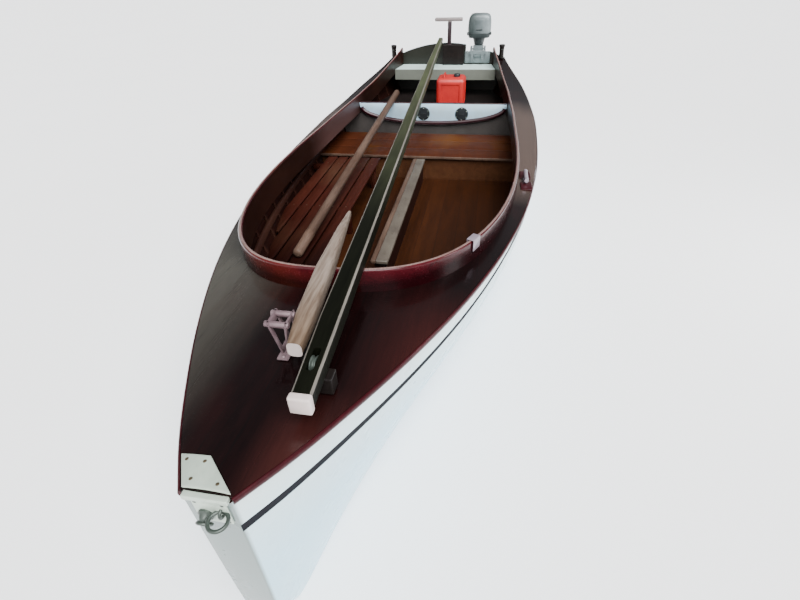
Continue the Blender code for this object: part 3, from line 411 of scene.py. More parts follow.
# One side's section of the hull, from the sheer down to the keel, set in by a wall.
def sideAt(x, wall, steps=22):
    beam = max(stationAt(1, x) - wall, 0.004)
    flat = max(min(boat["keelHalf"], stationAt(1, x) * 0.8) - wall * 0.5, 0.002)
    deep = sheerAt(x) - stationAt(2, x) - wall
    power = 2 / stationAt(3, x)
    side = []
    for i in range(steps + 1):
        turn = pi / 2 * i / steps
        out = cos(turn) ** power if i < steps else 0.0
        side.append(Vector((x, flat + (beam - flat) * out, sheerAt(x) - deep * sin(turn) ** power)))
    return side


def mirrored(points):
    return [Vector((p.x, -p.y, p.z)) for p in reversed(points)]


def hullHalf(x, z, wall):
    side = sideAt(x, wall)
    for high, low in zip(side, side[1:]):
        if low.z <= z <= high.z:
            return low.y + (high.y - low.y) * (z - low.z) / max(high.z - low.z, 0.0001)
    return side[-1].y


def deckAt(x, y):
    beam = max(stationAt(1, x), 0.01)
    crown = boat["camber"] * (1 - min((y / beam) ** 2, 1)) * min(beam / 0.4, 1)
    return sheerAt(x) + boat["gap"] + boat["deckThick"] + crown


# Half width of the cockpit opening along its sides.
def cockpitHalf(x):
    rows = cockpit["sides"]
    for (xa, ya), (xb, yb) in zip(rows, rows[1:]):
        if x <= xb:
            return lerp(ya, yb, (x - xa) / (xb - xa))
    return rows[-1][1]


# Port half of the cockpit's outline, from aft to the front.
def cockpitLine(inset, aft, sideSteps=14, steps=48):
    wideAt, wide = cockpit["sides"][-1]
    places = [lerp(cockpit["sides"][0][0], wideAt, k / sideSteps) for k in range(sideSteps + 1)]
    line = [Vector((x, cockpitHalf(x) - inset, 0)) for x in [aft] + [x for x in places if x > aft]]
    power = 2 / cockpit["power"]
    for i in range(1, steps + 1):
        turn = pi / 2 * i / steps
        side = (wide - inset) * cos(turn) ** power if i < steps else 0.0
        line.append(Vector((lerp(wideAt, cockpit["front"] - inset, sin(turn) ** power), side, 0)))
    return line


# Height at which the spars bear on the coaming and the transom.
def sparRest(x):
    low = boat["archTop"] - boat["arch"] * (0.04 / stationAt(1, 0)) ** 2 + boat["gap"]
    high = deckAt(cockpit["front"], 0) + cockpit["up"] + boat["gap"]
    return lerp(low, high, x / cockpit["front"])


# Points on a circle in the plane of two directions.
def circle(radius, count, centre=(0, 0, 0), first=(1, 0, 0), second=(0, 1, 0)):
    turns = [2 * pi * k / count for k in range(count)]
    return [Vector(centre) + radius * (cos(t) * Vector(first) + sin(t) * Vector(second)) for t in turns]


# Adds a chain of points to a bmesh and gives back its edges.
def addChain(bm, points, closed):
    verts = [bm.verts.new(p) for p in points]
    ends = verts[1:] + verts[:1] if closed else verts[1:]
    return [bm.edges.new(pair) for pair in zip(verts, ends)]


# Stretches a skin over chains of equal count; in a ring, the last chain joins the first.
def skinOver(bm, chains, closed=True, ring=False):
    loops = [addChain(bm, chain, closed) for chain in chains]
    for near, far in zip(loops, loops[1:] + loops[:1] if ring else loops[1:]):
        bmesh.ops.bridge_loops(bm, edges=near + far)
    if closed and not ring:
        bmesh.ops.contextual_create(bm, geom=loops[0])
        bmesh.ops.contextual_create(bm, geom=loops[-1])
    bmesh.ops.recalc_face_normals(bm, faces=bm.faces)


def roundEdges(bm, width, segments=3, sharper=0.6, edges=None):
    chosen = edges or [e for e in bm.edges if len(e.link_faces) == 2 and e.calc_face_angle() > sharper]
    bmesh.ops.bevel(bm, geom=chosen, offset=width, offset_type="OFFSET", segments=segments, profile=0.5,
                    affect="EDGES", material=-1, clamp_overlap=True)


# Faces that pass the test on their normal and middle get another of the piece's materials.
def markFaces(bm, test, index):
    for face in bm.faces:
        if test(face.normal, face.calc_center_median()):
            face.material_index = index


def meshOf(name, bm):
    mesh = bpy.data.meshes.new(name)
    bm.to_mesh(mesh)
    bm.free()
    return mesh


sharpAngle = radians(40)


# Turns a bmesh into a piece of the boat that rides on a body and stands for the named nodes.
def makePiece(name, bm, materials, replaced=(), body="hull"):
    bmesh.ops.remove_doubles(bm, verts=bm.verts, dist=0.00001)
    bmesh.ops.recalc_face_normals(bm, faces=bm.faces)
    mesh = meshOf(name, bm)
    for material in materials:
        mesh.materials.append(looks[material])
    mesh.shade_smooth()
    mesh.set_sharp_from_angle(angle=sharpAngle)
    piece = addObject(name, mesh)
    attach(piece, body)
    if replaced:
        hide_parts(*replaced)
    return piece


# Moves the contents of one bmesh into another.
def merge(bm, part, index=0):
    if index:
        for face in part.faces:
            face.material_index = index
    mesh = meshOf("passing", part)
    bm.from_mesh(mesh)
    bpy.data.meshes.remove(mesh)


# Adds a box, its edges rounded before it joins the rest.
def addBox(bm, low, high, rounded=0.0, segments=2):
    part = bmesh.new()
    bmesh.ops.create_cube(part, size=1.0)
    bmesh.ops.scale(part, vec=[b - a for a, b in zip(low, high)], verts=part.verts)
    if rounded:
        roundEdges(part, rounded, segments)
    bmesh.ops.translate(part, vec=[(a + b) / 2 for a, b in zip(low, high)], verts=part.verts)
    merge(bm, part)


# Adds a skin of its own over chains of points, rounded and turned before it joins the rest.
def addSkin(bm, chains, rounded=0.0, segments=2, sharper=0.6, ring=False, index=0, turn=None):
    part = bmesh.new()
    skinOver(part, chains, ring=ring)
    if rounded:
        roundEdges(part, rounded, segments, sharper)
    if turn:
        bmesh.ops.transform(part, matrix=turn, verts=part.verts)
    merge(bm, part, index)


# Turns an upright part to a direction, moves it to its place and adds it.
def addUpright(bm, part, place, axis, index):
    turn = Matrix.Translation(place) @ Vector(axis).to_track_quat("Z", "Y").to_matrix().to_4x4()
    bmesh.ops.transform(part, matrix=turn, verts=part.verts)
    merge(bm, part, index)


def addRod(bm, start, end, radius, endRadius=None, sides=24, rounded=0.0, index=0):
    start, end = Vector(start), Vector(end)
    part = bmesh.new()
    bmesh.ops.create_cone(part, cap_ends=True, segments=sides, radius1=radius,
                          radius2=radius if endRadius is None else endRadius, depth=(end - start).length)
    if rounded:
        roundEdges(part, rounded, 3, 0.9)
    addUpright(bm, part, (start + end) / 2, end - start, index)


# A turned form: the profile's points are (radius, height along the axis).
def addTurned(bm, place, axis, profile, sides=40, index=0):
    part = bmesh.new()
    chain = addChain(part, [Vector((r, 0, h)) for r, h in profile], False)
    bmesh.ops.spin(part, geom=part.verts[:] + chain, cent=(0, 0, 0), axis=(0, 0, 1), angle=2 * pi,
                   steps=sides, use_merge=True)
    bmesh.ops.remove_doubles(part, verts=part.verts, dist=0.00001)
    bmesh.ops.holes_fill(part, edges=part.edges, sides=0)
    addUpright(bm, part, place, axis, index)


# The profile of a screw's head, with its side's height and the radius of its flat top.
def headOf(radius, side, flat, high):
    return ((0.0, 0), (radius, 0), (radius, side), (flat, high), (0.0, high))


# A round bar bent along a path.
def addTube(bm, path, radius, closed=False, sides=12, index=0):
    count = len(path)
    chains = []
    for k, point in enumerate(path):
        back = path[(k - 1) % count] if closed or k else path[0]
        front = path[(k + 1) % count] if closed or k < count - 1 else path[-1]
        turn = (front - back).to_track_quat("Z", "Y")
        chains.append([point + turn @ out for out in circle(radius, sides)])
    addSkin(bm, chains, ring=closed, index=index)


# A flat outline, raised from low to high along x or z.
def addPlate(bm, outline, axis, low, high, rounded=0.0, segments=2, turn=None):
    chains = [[Vector((level, a, b) if axis == "x" else (a, b, level)) for a, b in outline]
              for level in (low, high)]
    addSkin(bm, chains, rounded, segments, turn=turn)


# Cuts the bmesh's shape out of a piece and keeps the result as its mesh.
def cutAway(piece, bm):
    bmesh.ops.recalc_face_normals(bm, faces=bm.faces)
    cutter = addObject("cutter", meshOf("cutter", bm))
    change = piece.modifiers.new("cut", "BOOLEAN")
    change.object = cutter
    change.solver = "EXACT"
    bpy.context.view_layer.update()
    result = piece.evaluated_get(bpy.context.evaluated_depsgraph_get())
    made = bpy.data.meshes.new_from_object(result)
    piece.modifiers.clear()
    piece.data = made
    bpy.data.objects.remove(cutter)
    made.set_sharp_from_angle(angle=sharpAngle)


# Hull: one skin with a wall, white outside and wood inside, open where the centreboard passes.
hull = {"sections": 72, "crowding": 1.4, "slot": ((2.29, -0.017, -0.5), (3.61, 0.017, 0.1)),
        "stemRound": 0.008, "stemFrom": 0.03}


# Places along the boat, closer together towards the bow.
def hullPlaces():
    count = hull["sections"]
    return [boat["length"] * (1 - (1 - i / count) ** hull["crowding"]) for i in range(count + 1)]


def makeHull():
    bm = bmesh.new()
    chains = [sideAt(x, 0.0) for x in hullPlaces()]
    skinOver(bm, [chain + mirrored(chain) for chain in chains], closed=False)
    stem = [v for v in bm.verts if abs(v.co.x - boat["length"]) < 0.0001]
    bmesh.ops.contextual_create(bm, geom=stem)
    bmesh.ops.recalc_face_normals(bm, faces=bm.faces)
    corner = [e for e in bm.edges if all(v in stem for v in e.verts) and len(e.link_faces) == 2
              and max(abs(v.co.y) for v in e.verts) > hull["stemFrom"]]
    roundEdges(bm, hull["stemRound"], 3, edges=corner)
    piece = makePiece("hullSkin", bm, ["hullPaint", "ceilingWood"], ["hull_shell"])
    wall = piece.modifiers.new("wall", "SOLIDIFY")
    wall.thickness = boat["plank"]
    wall.offset = -1
    wall.material_offset = 1
    wall.material_offset_rim = 1
    slot = bmesh.new()
    addBox(slot, *hull["slot"])
    cutAway(piece, slot)


makeHull()
print("stage: hull made")

# Deck with the cockpit's opening, lines across it from side to side.
deck = {"across": 14, "bowGap": 0.008, "cut": (-0.2, 1.2)}


def makeDeck():
    bm = bmesh.new()
    chains = []
    half = deck["across"]
    for x in hullPlaces()[:-1] + [boat["length"] - deck["bowGap"]]:
        beam = stationAt(1, x)
        places = [beam * sin(pi / 2 * k / half) for k in range(-half, half + 1)]
        over = [Vector((x, y, deckAt(x, y))) for y in places]
        chains.append(over + [p - Vector((0, 0, boat["deckThick"])) for p in reversed(over)])
    skinOver(bm, chains)
    piece = makePiece("deckSkin", bm, ["deckWood"], ["deck"])
    line = cockpitLine(0.0, cockpit["sides"][0][0])
    opening = bmesh.new()
    addPlate(opening, [(p.x, p.y) for p in line + mirrored(line[:-1])], "z", *deck["cut"])
    cutAway(piece, opening)


# Coaming: a bent strip with a rounded top, paler on the faces that look upward; its inward faces take a
# darker copy of the wood as painted shade.
coaming = {"topSteps": 8, "crown": 0.006, "rimDown": 0.010}


def makeCoaming():
    bm = bmesh.new()
    steps = coaming["topSteps"]
    lines = [cockpitLine(boat["gap"] + inset, cockpit["aft"]) for inset in (cockpit["thick"], 0)]
    inner, outer = (line + mirrored(line[:-1]) for line in lines)
    chains = []
    for near, far in zip(inner, outer):
        level = deckAt(far.x, far.y)
        foot = Vector((0, 0, level - cockpit["down"]))
        rim = Vector((0, 0, level + cockpit["up"] - coaming["rimDown"]))
        chain = [far + foot, far + rim]
        for k in range(steps + 1):
            drop = coaming["crown"] * abs(2 * k / steps - 1) ** 2.5
            chain.append(far.lerp(near, k / steps) + Vector((0, 0, level + cockpit["up"] - drop)))
        chains.append(chain + [near + rim, near + foot])
    skinOver(bm, chains)
    roundFrom = cockpit["sides"][-1][0]
    # Upward faces take the pale edge wood; inward faces take the darker copy as painted shade.
    markFaces(bm, lambda normal, middle: normal.z > 0.84, 1)
    markFaces(bm, lambda normal, middle: abs(normal.z) < 0.3
              and normal.x * max(middle.x - roundFrom, 0) + normal.y * middle.y < 0, 2)
    makePiece("coamingStrip", bm, ["coamingWood", "edgeWood", "coamingShadeWood"],
              ["coaming_port", "coaming_starboard", "coaming_front"])


# Rub rails: thin rounded strips at the deck's edge.
rail = {"off": 0.001, "flat": 0.003, "thick": 0.008, "down": 0.006, "bowEnd": 0.005, "bowFrom": 0.06,
        "steps": 6}


def makeRail(name, side, node):
    bm = bmesh.new()
    length, steps = boat["length"], rail["steps"]
    chains = []
    for x in [x for x in hullPlaces() if x < length - rail["bowFrom"]] + [length - rail["bowEnd"]]:
        slope = (stationAt(1, min(x + 0.01, length)) - stationAt(1, max(x - 0.01, 0))) / 0.02
        out = Vector((-slope, 1, 0)).normalized()
        edge = Vector((x, stationAt(1, x), 0))
        high = sheerAt(x) + boat["gap"] + boat["deckThick"]
        low = sheerAt(x) - rail["down"]
        chain = [edge + out * rail["off"] + Vector((0, 0, level)) for level in (high, low)]
        for k in range(steps + 1):
            turn = pi * (k / steps - 0.5)
            level = (high + low) / 2 + (high - low) / 2 * sin(turn)
            chain.append(edge + out * lerp(rail["flat"], rail["thick"], cos(turn)) + Vector((0, 0, level)))
        chains.append([Vector((p.x, p.y * side, p.z)) for p in chain])
    skinOver(bm, chains)
    makePiece(name, bm, ["railWood"], [node])


makeDeck()
makeCoaming()
makeRail("railPort", 1, "rub_rail_port")
makeRail("railStarboard", -1, "rub_rail_starboard")
print("stage: deck made")

# Steamed ribs and one stringer each side, inside the planking; ribs stay clear of what stands across.
ribs = {"first": 0.30, "last": 4.70, "space": 0.20, "wide": 0.022, "deep": 0.011, "off": 0.0012, "top": 0.075,
        "across": (1.43, 1.64, 2.17, 2.20), "clear": 0.06, "points": 14, "shown": slice(1, 12)}
stringer = {"ends": (1.52, 4.60), "down": 0.150, "thick": 0.016, "tall": 0.034, "off": 0.001, "steps": 40}


def addRib(bm, x, side):
    half, top = ribs["wide"] / 2, sheerAt(x) - ribs["top"]
    outer, inner = boat["plank"] + ribs["off"], boat["plank"] + ribs["deep"]
    lines = [sideAt(x + shift, wall, ribs["points"])[ribs["shown"]] for wall, shift in
             ((outer, -half), (outer, half), (inner, half), (inner, -half))]
    addSkin(bm, [[Vector((p.x, p.y * side, min(p.z, top))) for p in chain] for chain in zip(*lines)])


def makeRibs():
    bm = bmesh.new()
    x = ribs["first"]
    while x < ribs["last"]:
        if all(abs(x - other) > ribs["clear"] for other in ribs["across"]):
            addRib(bm, x, 1)
            addRib(bm, x, -1)
        x += ribs["space"]
    makePiece("ribs", bm, ["ribWood"])


def makeStringer(name, side):
    bm = bmesh.new()
    thick, half = stringer["thick"], stringer["tall"] / 2
    inset = boat["plank"] + ribs["deep"] + stringer["off"]
    chains = []
    for k in range(stringer["steps"] + 1):
        x = lerp(*stringer["ends"], k / stringer["steps"])
        level = sheerAt(x) - stringer["down"]
        high, low = (hullHalf(x, level + up, inset) for up in (half, -half))
        chains.append([Vector((x, side * out, level + up)) for out, up in
                       ((high, half), (low, -half), (low - thick, -half), (high - thick, half))])
    addSkin(bm, chains, 0.004, 2, 0.8)
    makePiece(name, bm, ["ribWood"])


makeRibs()
makeStringer("stringerPort", 1)
makeStringer("stringerStarboard", -1)
print("stage: ribs made")

# Starboard bench: slats with eased edges on bearers with legs.
bench = {"ends": (2.26, 3.98), "top": 0.300, "inner": 0.290, "wide": 0.072, "gap": 0.012, "thick": 0.014,
         "slats": 5, "steps": 40, "shortest": 0.014, "wallGap": 0.010, "bearers": (2.40, 3.12, 3.84),
         "bearerHalf": 0.020, "bearerLow": 0.255, "bearerIn": 0.006, "legHalf": 0.018, "leg": (0.012, 0.050),
         "floor": 0.120, "screw": ((0.0045, 0), (0.0045, 0.0010), (0.002, 0.0014), (0.0, 0.0014))}


def makeBench():
    bm = bmesh.new()
    top, inner, low, inset = bench["top"], bench["inner"], bench["bearerLow"], bench["bearerIn"]
    under = top - bench["thick"]
    half, legHalf, (legNear, legFar) = bench["bearerHalf"], bench["legHalf"], bench["leg"]
    for x in bench["bearers"]:
        far = hullHalf(x + half, low, boat["plank"]) - inset
        addBox(bm, (x - half, -far, low), (x + half, -inner - inset, under - 0.0002), 0.003)
        addBox(bm, (x - legHalf, -inner - legFar, bench["floor"] + boat["gap"]),
               (x + legHalf, -inner - legNear, low - 0.0002), 0.003)
    places = [lerp(*bench["ends"], i / bench["steps"]) for i in range(bench["steps"] + 1)]
    reach = [(x, hullHalf(x, under, boat["plank"]) - bench["wallGap"]) for x in places]
    for k in range(bench["slats"]):
        near = inner + k * (bench["wide"] + bench["gap"])
        far = near + bench["wide"]
        side = [(x, -min(far, y)) for x, y in reach if y > near + bench["shortest"]]
        addPlate(bm, [(side[-1][0], -near), (side[0][0], -near)] + side, "z", under, top, 0.004, 3)
        for x in bench["bearers"]:
            if hullHalf(x, under, boat["plank"]) > far:
                addTurned(bm, (x, -(near + far) / 2, top - 0.001), (0, 0, 1), bench["screw"], 16, 1)
    makePiece("bench", bm, ["benchWood", "bronze"], ["bench_starboard"])


# Aft seat: three planks across the boat with rounded edges, the front one with a pale nose painted as a
# highlight.
seat = {"ends": (1.64, 2.20), "top": 0.300, "thick": 0.020, "planks": 3, "gap": 0.003, "margin": 0.008,
        "nose": 0.010}


def makeSeat():
    bm = bmesh.new()
    aft, front = seat["ends"]
    low, count, half = seat["top"] - seat["thick"], seat["planks"], seat["gap"] / 2
    for k in range(count):
        start = lerp(aft, front, k / count) + (half if k else 0)
        end = lerp(aft, front, (k + 1) / count) - (half if k < count - 1 else 0)
        places = (start, (start + end) / 2, end)
        side = [(x, hullHalf(x, low, boat["plank"]) - seat["margin"]) for x in places]
        addPlate(bm, side + [(x, -y) for x, y in reversed(side)], "z", low, seat["top"], 0.004, 3)
    bmesh.ops.recalc_face_normals(bm, faces=bm.faces)
    # The forward-facing nose takes the pale wood: a painted highlight.
    markFaces(bm, lambda normal, middle: middle.x > front - seat["nose"] and normal.x > 0.2, 1)
    makePiece("aftSeat", bm, ["seatWood", "tanWood"], ["aft_seat"])


# Centreboard trunk's cap: a pale plank with a red strip along its starboard side.
cap = {"ends": (2.22, 3.69), "low": 0.2683, "high": 0.2883, "paleFrom": -0.018, "half": 0.045, "screws": 7,
       "screwIn": 0.08, "screwY": 0.014,
       "screw": ((0.006, 0), (0.006, 0.001), (0.002, 0.0016), (0.0, 0.0016))}


def makeCap():
    aft, front = cap["ends"]
    bm = bmesh.new()
    addBox(bm, (aft, cap["paleFrom"], cap["low"]), (front, cap["half"], cap["high"]), 0.005, 3)
    for k in range(cap["screws"]):
        x = lerp(aft + cap["screwIn"], front - cap["screwIn"], k / (cap["screws"] - 1))
        addTurned(bm, (x, cap["screwY"], cap["high"] - 0.001), (0, 0, 1), cap["screw"], 16, 1)
    makePiece("trunkTop", bm, ["trunkPaint", "bronze"], ["trunk_cap"])
    bm = bmesh.new()
    addBox(bm, (aft, -cap["half"], cap["low"]), (front, cap["paleFrom"] - boat["gap"], cap["high"]), 0.005, 3)
    makePiece("trunkStrip", bm, ["tanWood"], ["trunk_cap_edge"])


makeBench()
makeSeat()
makeCap()
print("stage: cockpit made")

# Apron of the aft bulkhead with its dark red trim, and the round port plates.
apron = {"x": 1.4323, "thick": 0.014, "top": 0.496, "side": 0.462, "low": 0.331, "steps": 40,
         "trim": 0.0175, "trimIn": 0.975, "trimUp": 0.011, "topTrim": 0.006, "topTrimIn": 0.99}
plates = {"z": 0.412, "r": 0.056, "bar": ((0.009, -0.022, -0.004), (0.0135, 0.022, 0.004)),
          "profile": ((0.0, 0.0), (0.056, 0.0), (0.056, 0.003), (0.052, 0.006), (0.042, 0.006),
                      (0.040, 0.004), (0.038, 0.004), (0.036, 0.009), (0.026, 0.010), (0.0, 0.010)),
          "screws": 6, "screwIn": 0.009, "screw": ((0.0032, 0), (0.0032, 0.001), (0.0, 0.0018))}


def makeApron():
    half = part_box("apron")[1][1]
    low, top, count = apron["low"], apron["top"], apron["steps"]
    turns = [pi * i / count for i in range(count + 1)]
    arc = [Vector((0, -half * cos(t), lerp(apron["side"], low, sin(t)))) for t in turns]
    front = apron["x"] + apron["thick"]
    bm = bmesh.new()
    addPlate(bm, [(-half, top)] + [(p.y, p.z) for p in arc] + [(half, top)], "x", apron["x"], front, 0.002)
    makePiece("apronPanel", bm, ["apronPaint"], ["apron"])
    bm = bmesh.new()
    lift = Vector((front + 0.001, 0, apron["trimUp"]))
    addTube(bm, [p * apron["trimIn"] + lift for p in arc], apron["trim"])
    addTube(bm, [Vector((front - 0.005, lerp(-half, half, k / 12) * apron["topTrimIn"], top + 0.001))
                 for k in range(13)], apron["topTrim"])
    makePiece("apronTrim", bm, ["trimPaint"])


def makePlate(name, node, y):
    centre = Vector((apron["x"] + apron["thick"] + boat["gap"], y, plates["z"]))
    bm = bmesh.new()
    addTurned(bm, centre, (1, 0, 0), plates["profile"], 48)
    addBox(bm, *(centre + Vector(corner) for corner in plates["bar"]), 0.0015)
    for k in range(plates["screws"]):
        turn = 2 * pi * (k + 0.5) / plates["screws"]
        out = Vector((0, cos(turn), sin(turn))) * (plates["r"] - plates["screwIn"])
        addTurned(bm, centre + out + Vector((0.0055, 0, 0)), (1, 0, 0), plates["screw"], 12, 1)
    makePiece(name, bm, ["blackPlastic", "steel"], [node])


# Fuel tank: a moulded can with a pressed panel on its sides, a handle and a ribbed cap.
tank = {"low": (0.560, -0.030, 0.2923), "size": (0.260, 0.275, 0.272), "round": 0.036, "press": 0.006,
        "frame": 0.018, "gripY": 0.07, "gripR": 0.0075,
        "grip": ((-0.072, -0.004), (-0.070, 0.014), (-0.052, 0.023), (0.052, 0.023), (0.070, 0.014),
                 (0.072, -0.004)),
        "cap": ((0.0, 0), (0.030, 0), (0.030, 0.020), (0.027, 0.0245), (0.010, 0.0252), (0.0, 0.0252)),
        "capY": 0.19, "capR": 0.030, "ridges": 18, "ridge": (0.002, 0.019, 0.0012)}


def makeTank():
    low, size = Vector(tank["low"]), Vector(tank["size"])
    part = bmesh.new()
    bmesh.ops.create_cube(part, size=1.0)
    bmesh.ops.scale(part, vec=size, verts=part.verts)
    roundEdges(part, tank["round"], 6)
    walls = [f for f in part.faces if abs(f.normal.z) < 0.1 and f.calc_area() > 0.02]
    bmesh.ops.inset_individual(part, faces=walls, thickness=tank["frame"], depth=0.0)
    bmesh.ops.inset_individual(part, faces=walls, thickness=0.006, depth=-tank["press"])
    bmesh.ops.translate(part, vec=low + size / 2, verts=part.verts)
    bm = bmesh.new()
    merge(bm, part)
    top = Vector((low.x + size.x / 2, low.y, low.z + size.z))
    addTube(bm, [top + Vector((x, tank["gripY"], up)) for x, up in tank["grip"]], tank["gripR"], sides=14)
    makePiece("fuelTank", bm, ["redPlastic"], ["fuel_tank"])
    bm = bmesh.new()
    centre = top + Vector((0, tank["capY"], 0))
    addTurned(bm, centre + Vector((0, 0, boat["gap"])), (0, 0, 1), tank["cap"], 36)
    start, end, radius = tank["ridge"]
    for place in circle(tank["capR"], tank["ridges"], centre):
        addRod(bm, place + Vector((0, 0, start)), place + Vector((0, 0, end)), radius, sides=8)
    makePiece("tankCap", bm, ["blackPlastic"], ["tank_cap"])


makeApron()
makePlate("portPlatestarboard", "port_plate_starboard", -0.070)
makePlate("portPlateport", "port_plate_port", 0.262)
makeTank()
print("stage: stern fittings made")


# A section with rounded corners: width, height and the corner's radius.
def sparSection(x, y, low, wide, high, corner, steps=4):
    points = []
    for quarter, (sideways, up) in enumerate(((1, 1), (-1, 1), (-1, -1), (1, -1))):
        middle = Vector((x, y + sideways * (wide / 2 - corner), low + high / 2 + up * (high / 2 - corner)))
        for k in range(steps + 1):
            turn = pi / 2 * (quarter + k / steps)
            points.append(middle + Vector((0, corner * cos(turn), corner * sin(turn))))
    return points


# Skins a spar that lies on the coaming; its rows give the share of its length, width and height.
def skinSpar(bm, spar):
    chains = []
    for k in range(spar["steps"] + 1):
        share = k / spar["steps"]
        near, far = next(pair for pair in zip(spar["rows"], spar["rows"][1:]) if share <= pair[1][0])
        t = (share - near[0]) / (far[0] - near[0])
        wide, high = (lerp(a, b, t) for a, b in zip(near[1:], far[1:]))
        x, y = (lerp(a, b, share) for a, b in zip(*spar["ends"]))
        chains.append(sparSection(x, y, sparRest(x), wide, high, min(spar["corner"], wide * 0.4)))
    skinOver(bm, chains)


# Mast: dark, with pale upper corners painted as highlights, a sheave near its heel and a white cap.
mast = {"ends": ((4.985, 0.133), (-0.035, -0.078)), "steps": 40, "corner": 0.010,
        "rows": ((0.0, 0.051, 0.047), (0.05, 0.058, 0.056), (0.35, 0.058, 0.056), (0.7, 0.055, 0.057),
                 (1.0, 0.046, 0.046)),
        "sheaveFrom": 0.10, "sheaveTop": 0.056, "slot": (0.036, 0.009, 0.034), "wheel": 0.023,
        "profile": ((0.0, 0), (0.023, 0), (0.023, 0.002), (0.018, 0.005), (0.018, 0.009), (0.023, 0.012),
                    (0.023, 0.014), (0.0, 0.014)), "cap": (0.053, 0.049)}


def makeMast():
    (x1, y1), (x2, y2) = mast["ends"]
    bm = bmesh.new()
    skinSpar(bm, mast)
    # Faces that look up and to the side take the pale wood: painted highlights.
    markFaces(bm, lambda normal, middle: abs(normal.y) > 0.34 and normal.z > 0.30, 1)
    piece = makePiece("mastSpar", bm, ["sparWood", "cornerHighlightWood"], ["mast"])
    x = x1 - mast["sheaveFrom"]
    y = y1 - mast["sheaveFrom"] * (y2 - y1) / (x2 - x1)
    top = sparRest(x) + mast["sheaveTop"]
    half, side, deep = mast["slot"]
    slot = bmesh.new()
    addBox(slot, (x - half, y - side, top - deep), (x + half, y + side, top + 0.02), 0.006)
    cutAway(piece, slot)
    bm = bmesh.new()
    addTurned(bm, (x, y - 0.007, top - mast["wheel"] - 0.003), (0, 1, 0), mast["profile"], 32)
    makePiece("sheave", bm, ["darkSteel"])
    low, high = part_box("mast_cap")
    wide, tall = mast["cap"]
    bm = bmesh.new()
    addBox(bm, (low[0], y1 - wide / 2, low[2]), (high[0], y1 + wide / 2, low[2] + tall), 0.005, 4)
    makePiece("heelCap", bm, ["creamPaint"], ["mast_cap"])


# Short spar beside the mast, its aft end drawn to a point.
shortSpar = {"ends": ((4.835, 0.058), (4.075, -0.004)), "steps": 20, "corner": 0.013,
             "rows": ((0.0, 0.03952, 0.0432), (0.15, 0.052, 0.054), (0.45, 0.052, 0.054),
                      (0.8, 0.03224, 0.0405), (1.0, 0.01144, 0.0216))}


def makeShortSpar():
    bm = bmesh.new()
    skinSpar(bm, shortSpar)
    markFaces(bm, lambda normal, middle: normal.x > 0.8, 1)
    makePiece("shortSpar", bm, ["paleWood", "creamPaint"], ["short_spar"])


# Spare spar: round, with eased ends and a sleeve near its forward end, leaning on the apron.
leaning = {"ends": ((3.740, -0.410), (1.250, -0.336)), "r": 0.026, "restX": 1.4463, "restZ": 0.496,
           "benchZ": 0.300, "sleeve": (0.15, 0.20, 0.002, 0.0015), "easing": ((0.5, 0.0008), (0.85, 0.005))}


def makeLeaningSpar():
    x1, r = leaning["ends"][0][0], leaning["r"]
    slope = (leaning["restZ"] - leaning["benchZ"]) / (leaning["restX"] - x1)
    lift = r * hypot(1, slope) + boat["gap"]
    start, end = (Vector((x, y, leaning["benchZ"] + slope * (x - x1) + lift)) for x, y in leaning["ends"])
    long = (end - start).length
    near, far, step, proud = leaning["sleeve"]
    profile = [(0.0, 0)] + [(r * share, h) for share, h in leaning["easing"]] + [(r, 0.012), (r, near)]
    profile += [(r + proud, near + step), (r + proud, far - step), (r, far)]
    profile += [(r, long * 0.5), (r, long - 0.012)]
    profile += [(r * share, long - h) for share, h in reversed(leaning["easing"])] + [(0.0, long)]
    bm = bmesh.new()
    addTurned(bm, start, end - start, profile, 32)
    makePiece("leaningSpar", bm, ["tanWood"], ["leaning_spar"])


makeMast()
makeShortSpar()
makeLeaningSpar()
print("stage: spars made")

# Mast fork on the foredeck: two open cheeks that spread from a narrow foot, and two rods across their tops.
fork = {"x": (4.718, 4.783), "up": 0.108, "thick": 0.006, "bar": 0.012, "rail": 0.020, "footUp": 0.004,
        "cheeks": ((-0.008, -0.24), (0.004, 0.10)), "rods": (-0.042, 0.024), "rodR": 0.009, "rodIn": 0.010,
        "foot": ((-0.02, -0.016, 0), (0.02, 0.016, 0.006)), "boltOut": 0.010,
        "bolt": ((0.0, 0), (0.0055, 0), (0.0055, 0.002), (0.003, 0.0040), (0.0, 0.0044))}


def makeFork():
    aft, front = fork["x"]
    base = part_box("tabernacle")[0][2]
    foot, top, bar, tall = base + fork["footUp"], base + fork["up"], fork["bar"], fork["rail"]
    bm = bmesh.new()
    for near, lean in fork["cheeks"]:
        part = bmesh.new()
        for low, high in (((aft, foot), (aft + bar, top)), ((front - bar, foot), (front, top)),
                          ((aft + 0.002, top - tall), (front - 0.002, top)),
                          ((aft + 0.002, foot), (front - 0.002, base + tall))):
            addBox(part, (low[0], near, low[1]), (high[0], near + fork["thick"], high[1]), 0.002)
        shear = Matrix(((1, 0, 0, 0), (0, 1, lean, -lean * base), (0, 0, 1, 0), (0, 0, 0, 1)))
        bmesh.ops.transform(part, verts=part.verts, matrix=shear)
        merge(bm, part)
    for x in (aft + fork["rodIn"], front - fork["rodIn"]):
        start, end = ((x, y, top - fork["rodIn"]) for y in fork["rods"])
        addRod(bm, start, end, fork["rodR"], sides=20, rounded=0.002)
    low, high = (Vector((x, 0, base)) + Vector(corner) for x, corner in zip(fork["x"], fork["foot"]))
    addBox(bm, low, high, 0.002)
    for x in (aft - fork["boltOut"], front + fork["boltOut"]):
        addTurned(bm, (x, 0.0, base + 0.0055), (0, 0, 1), fork["bolt"], 16)
    makePiece("mastFork", bm, ["forkMetal"], ["tabernacle"])


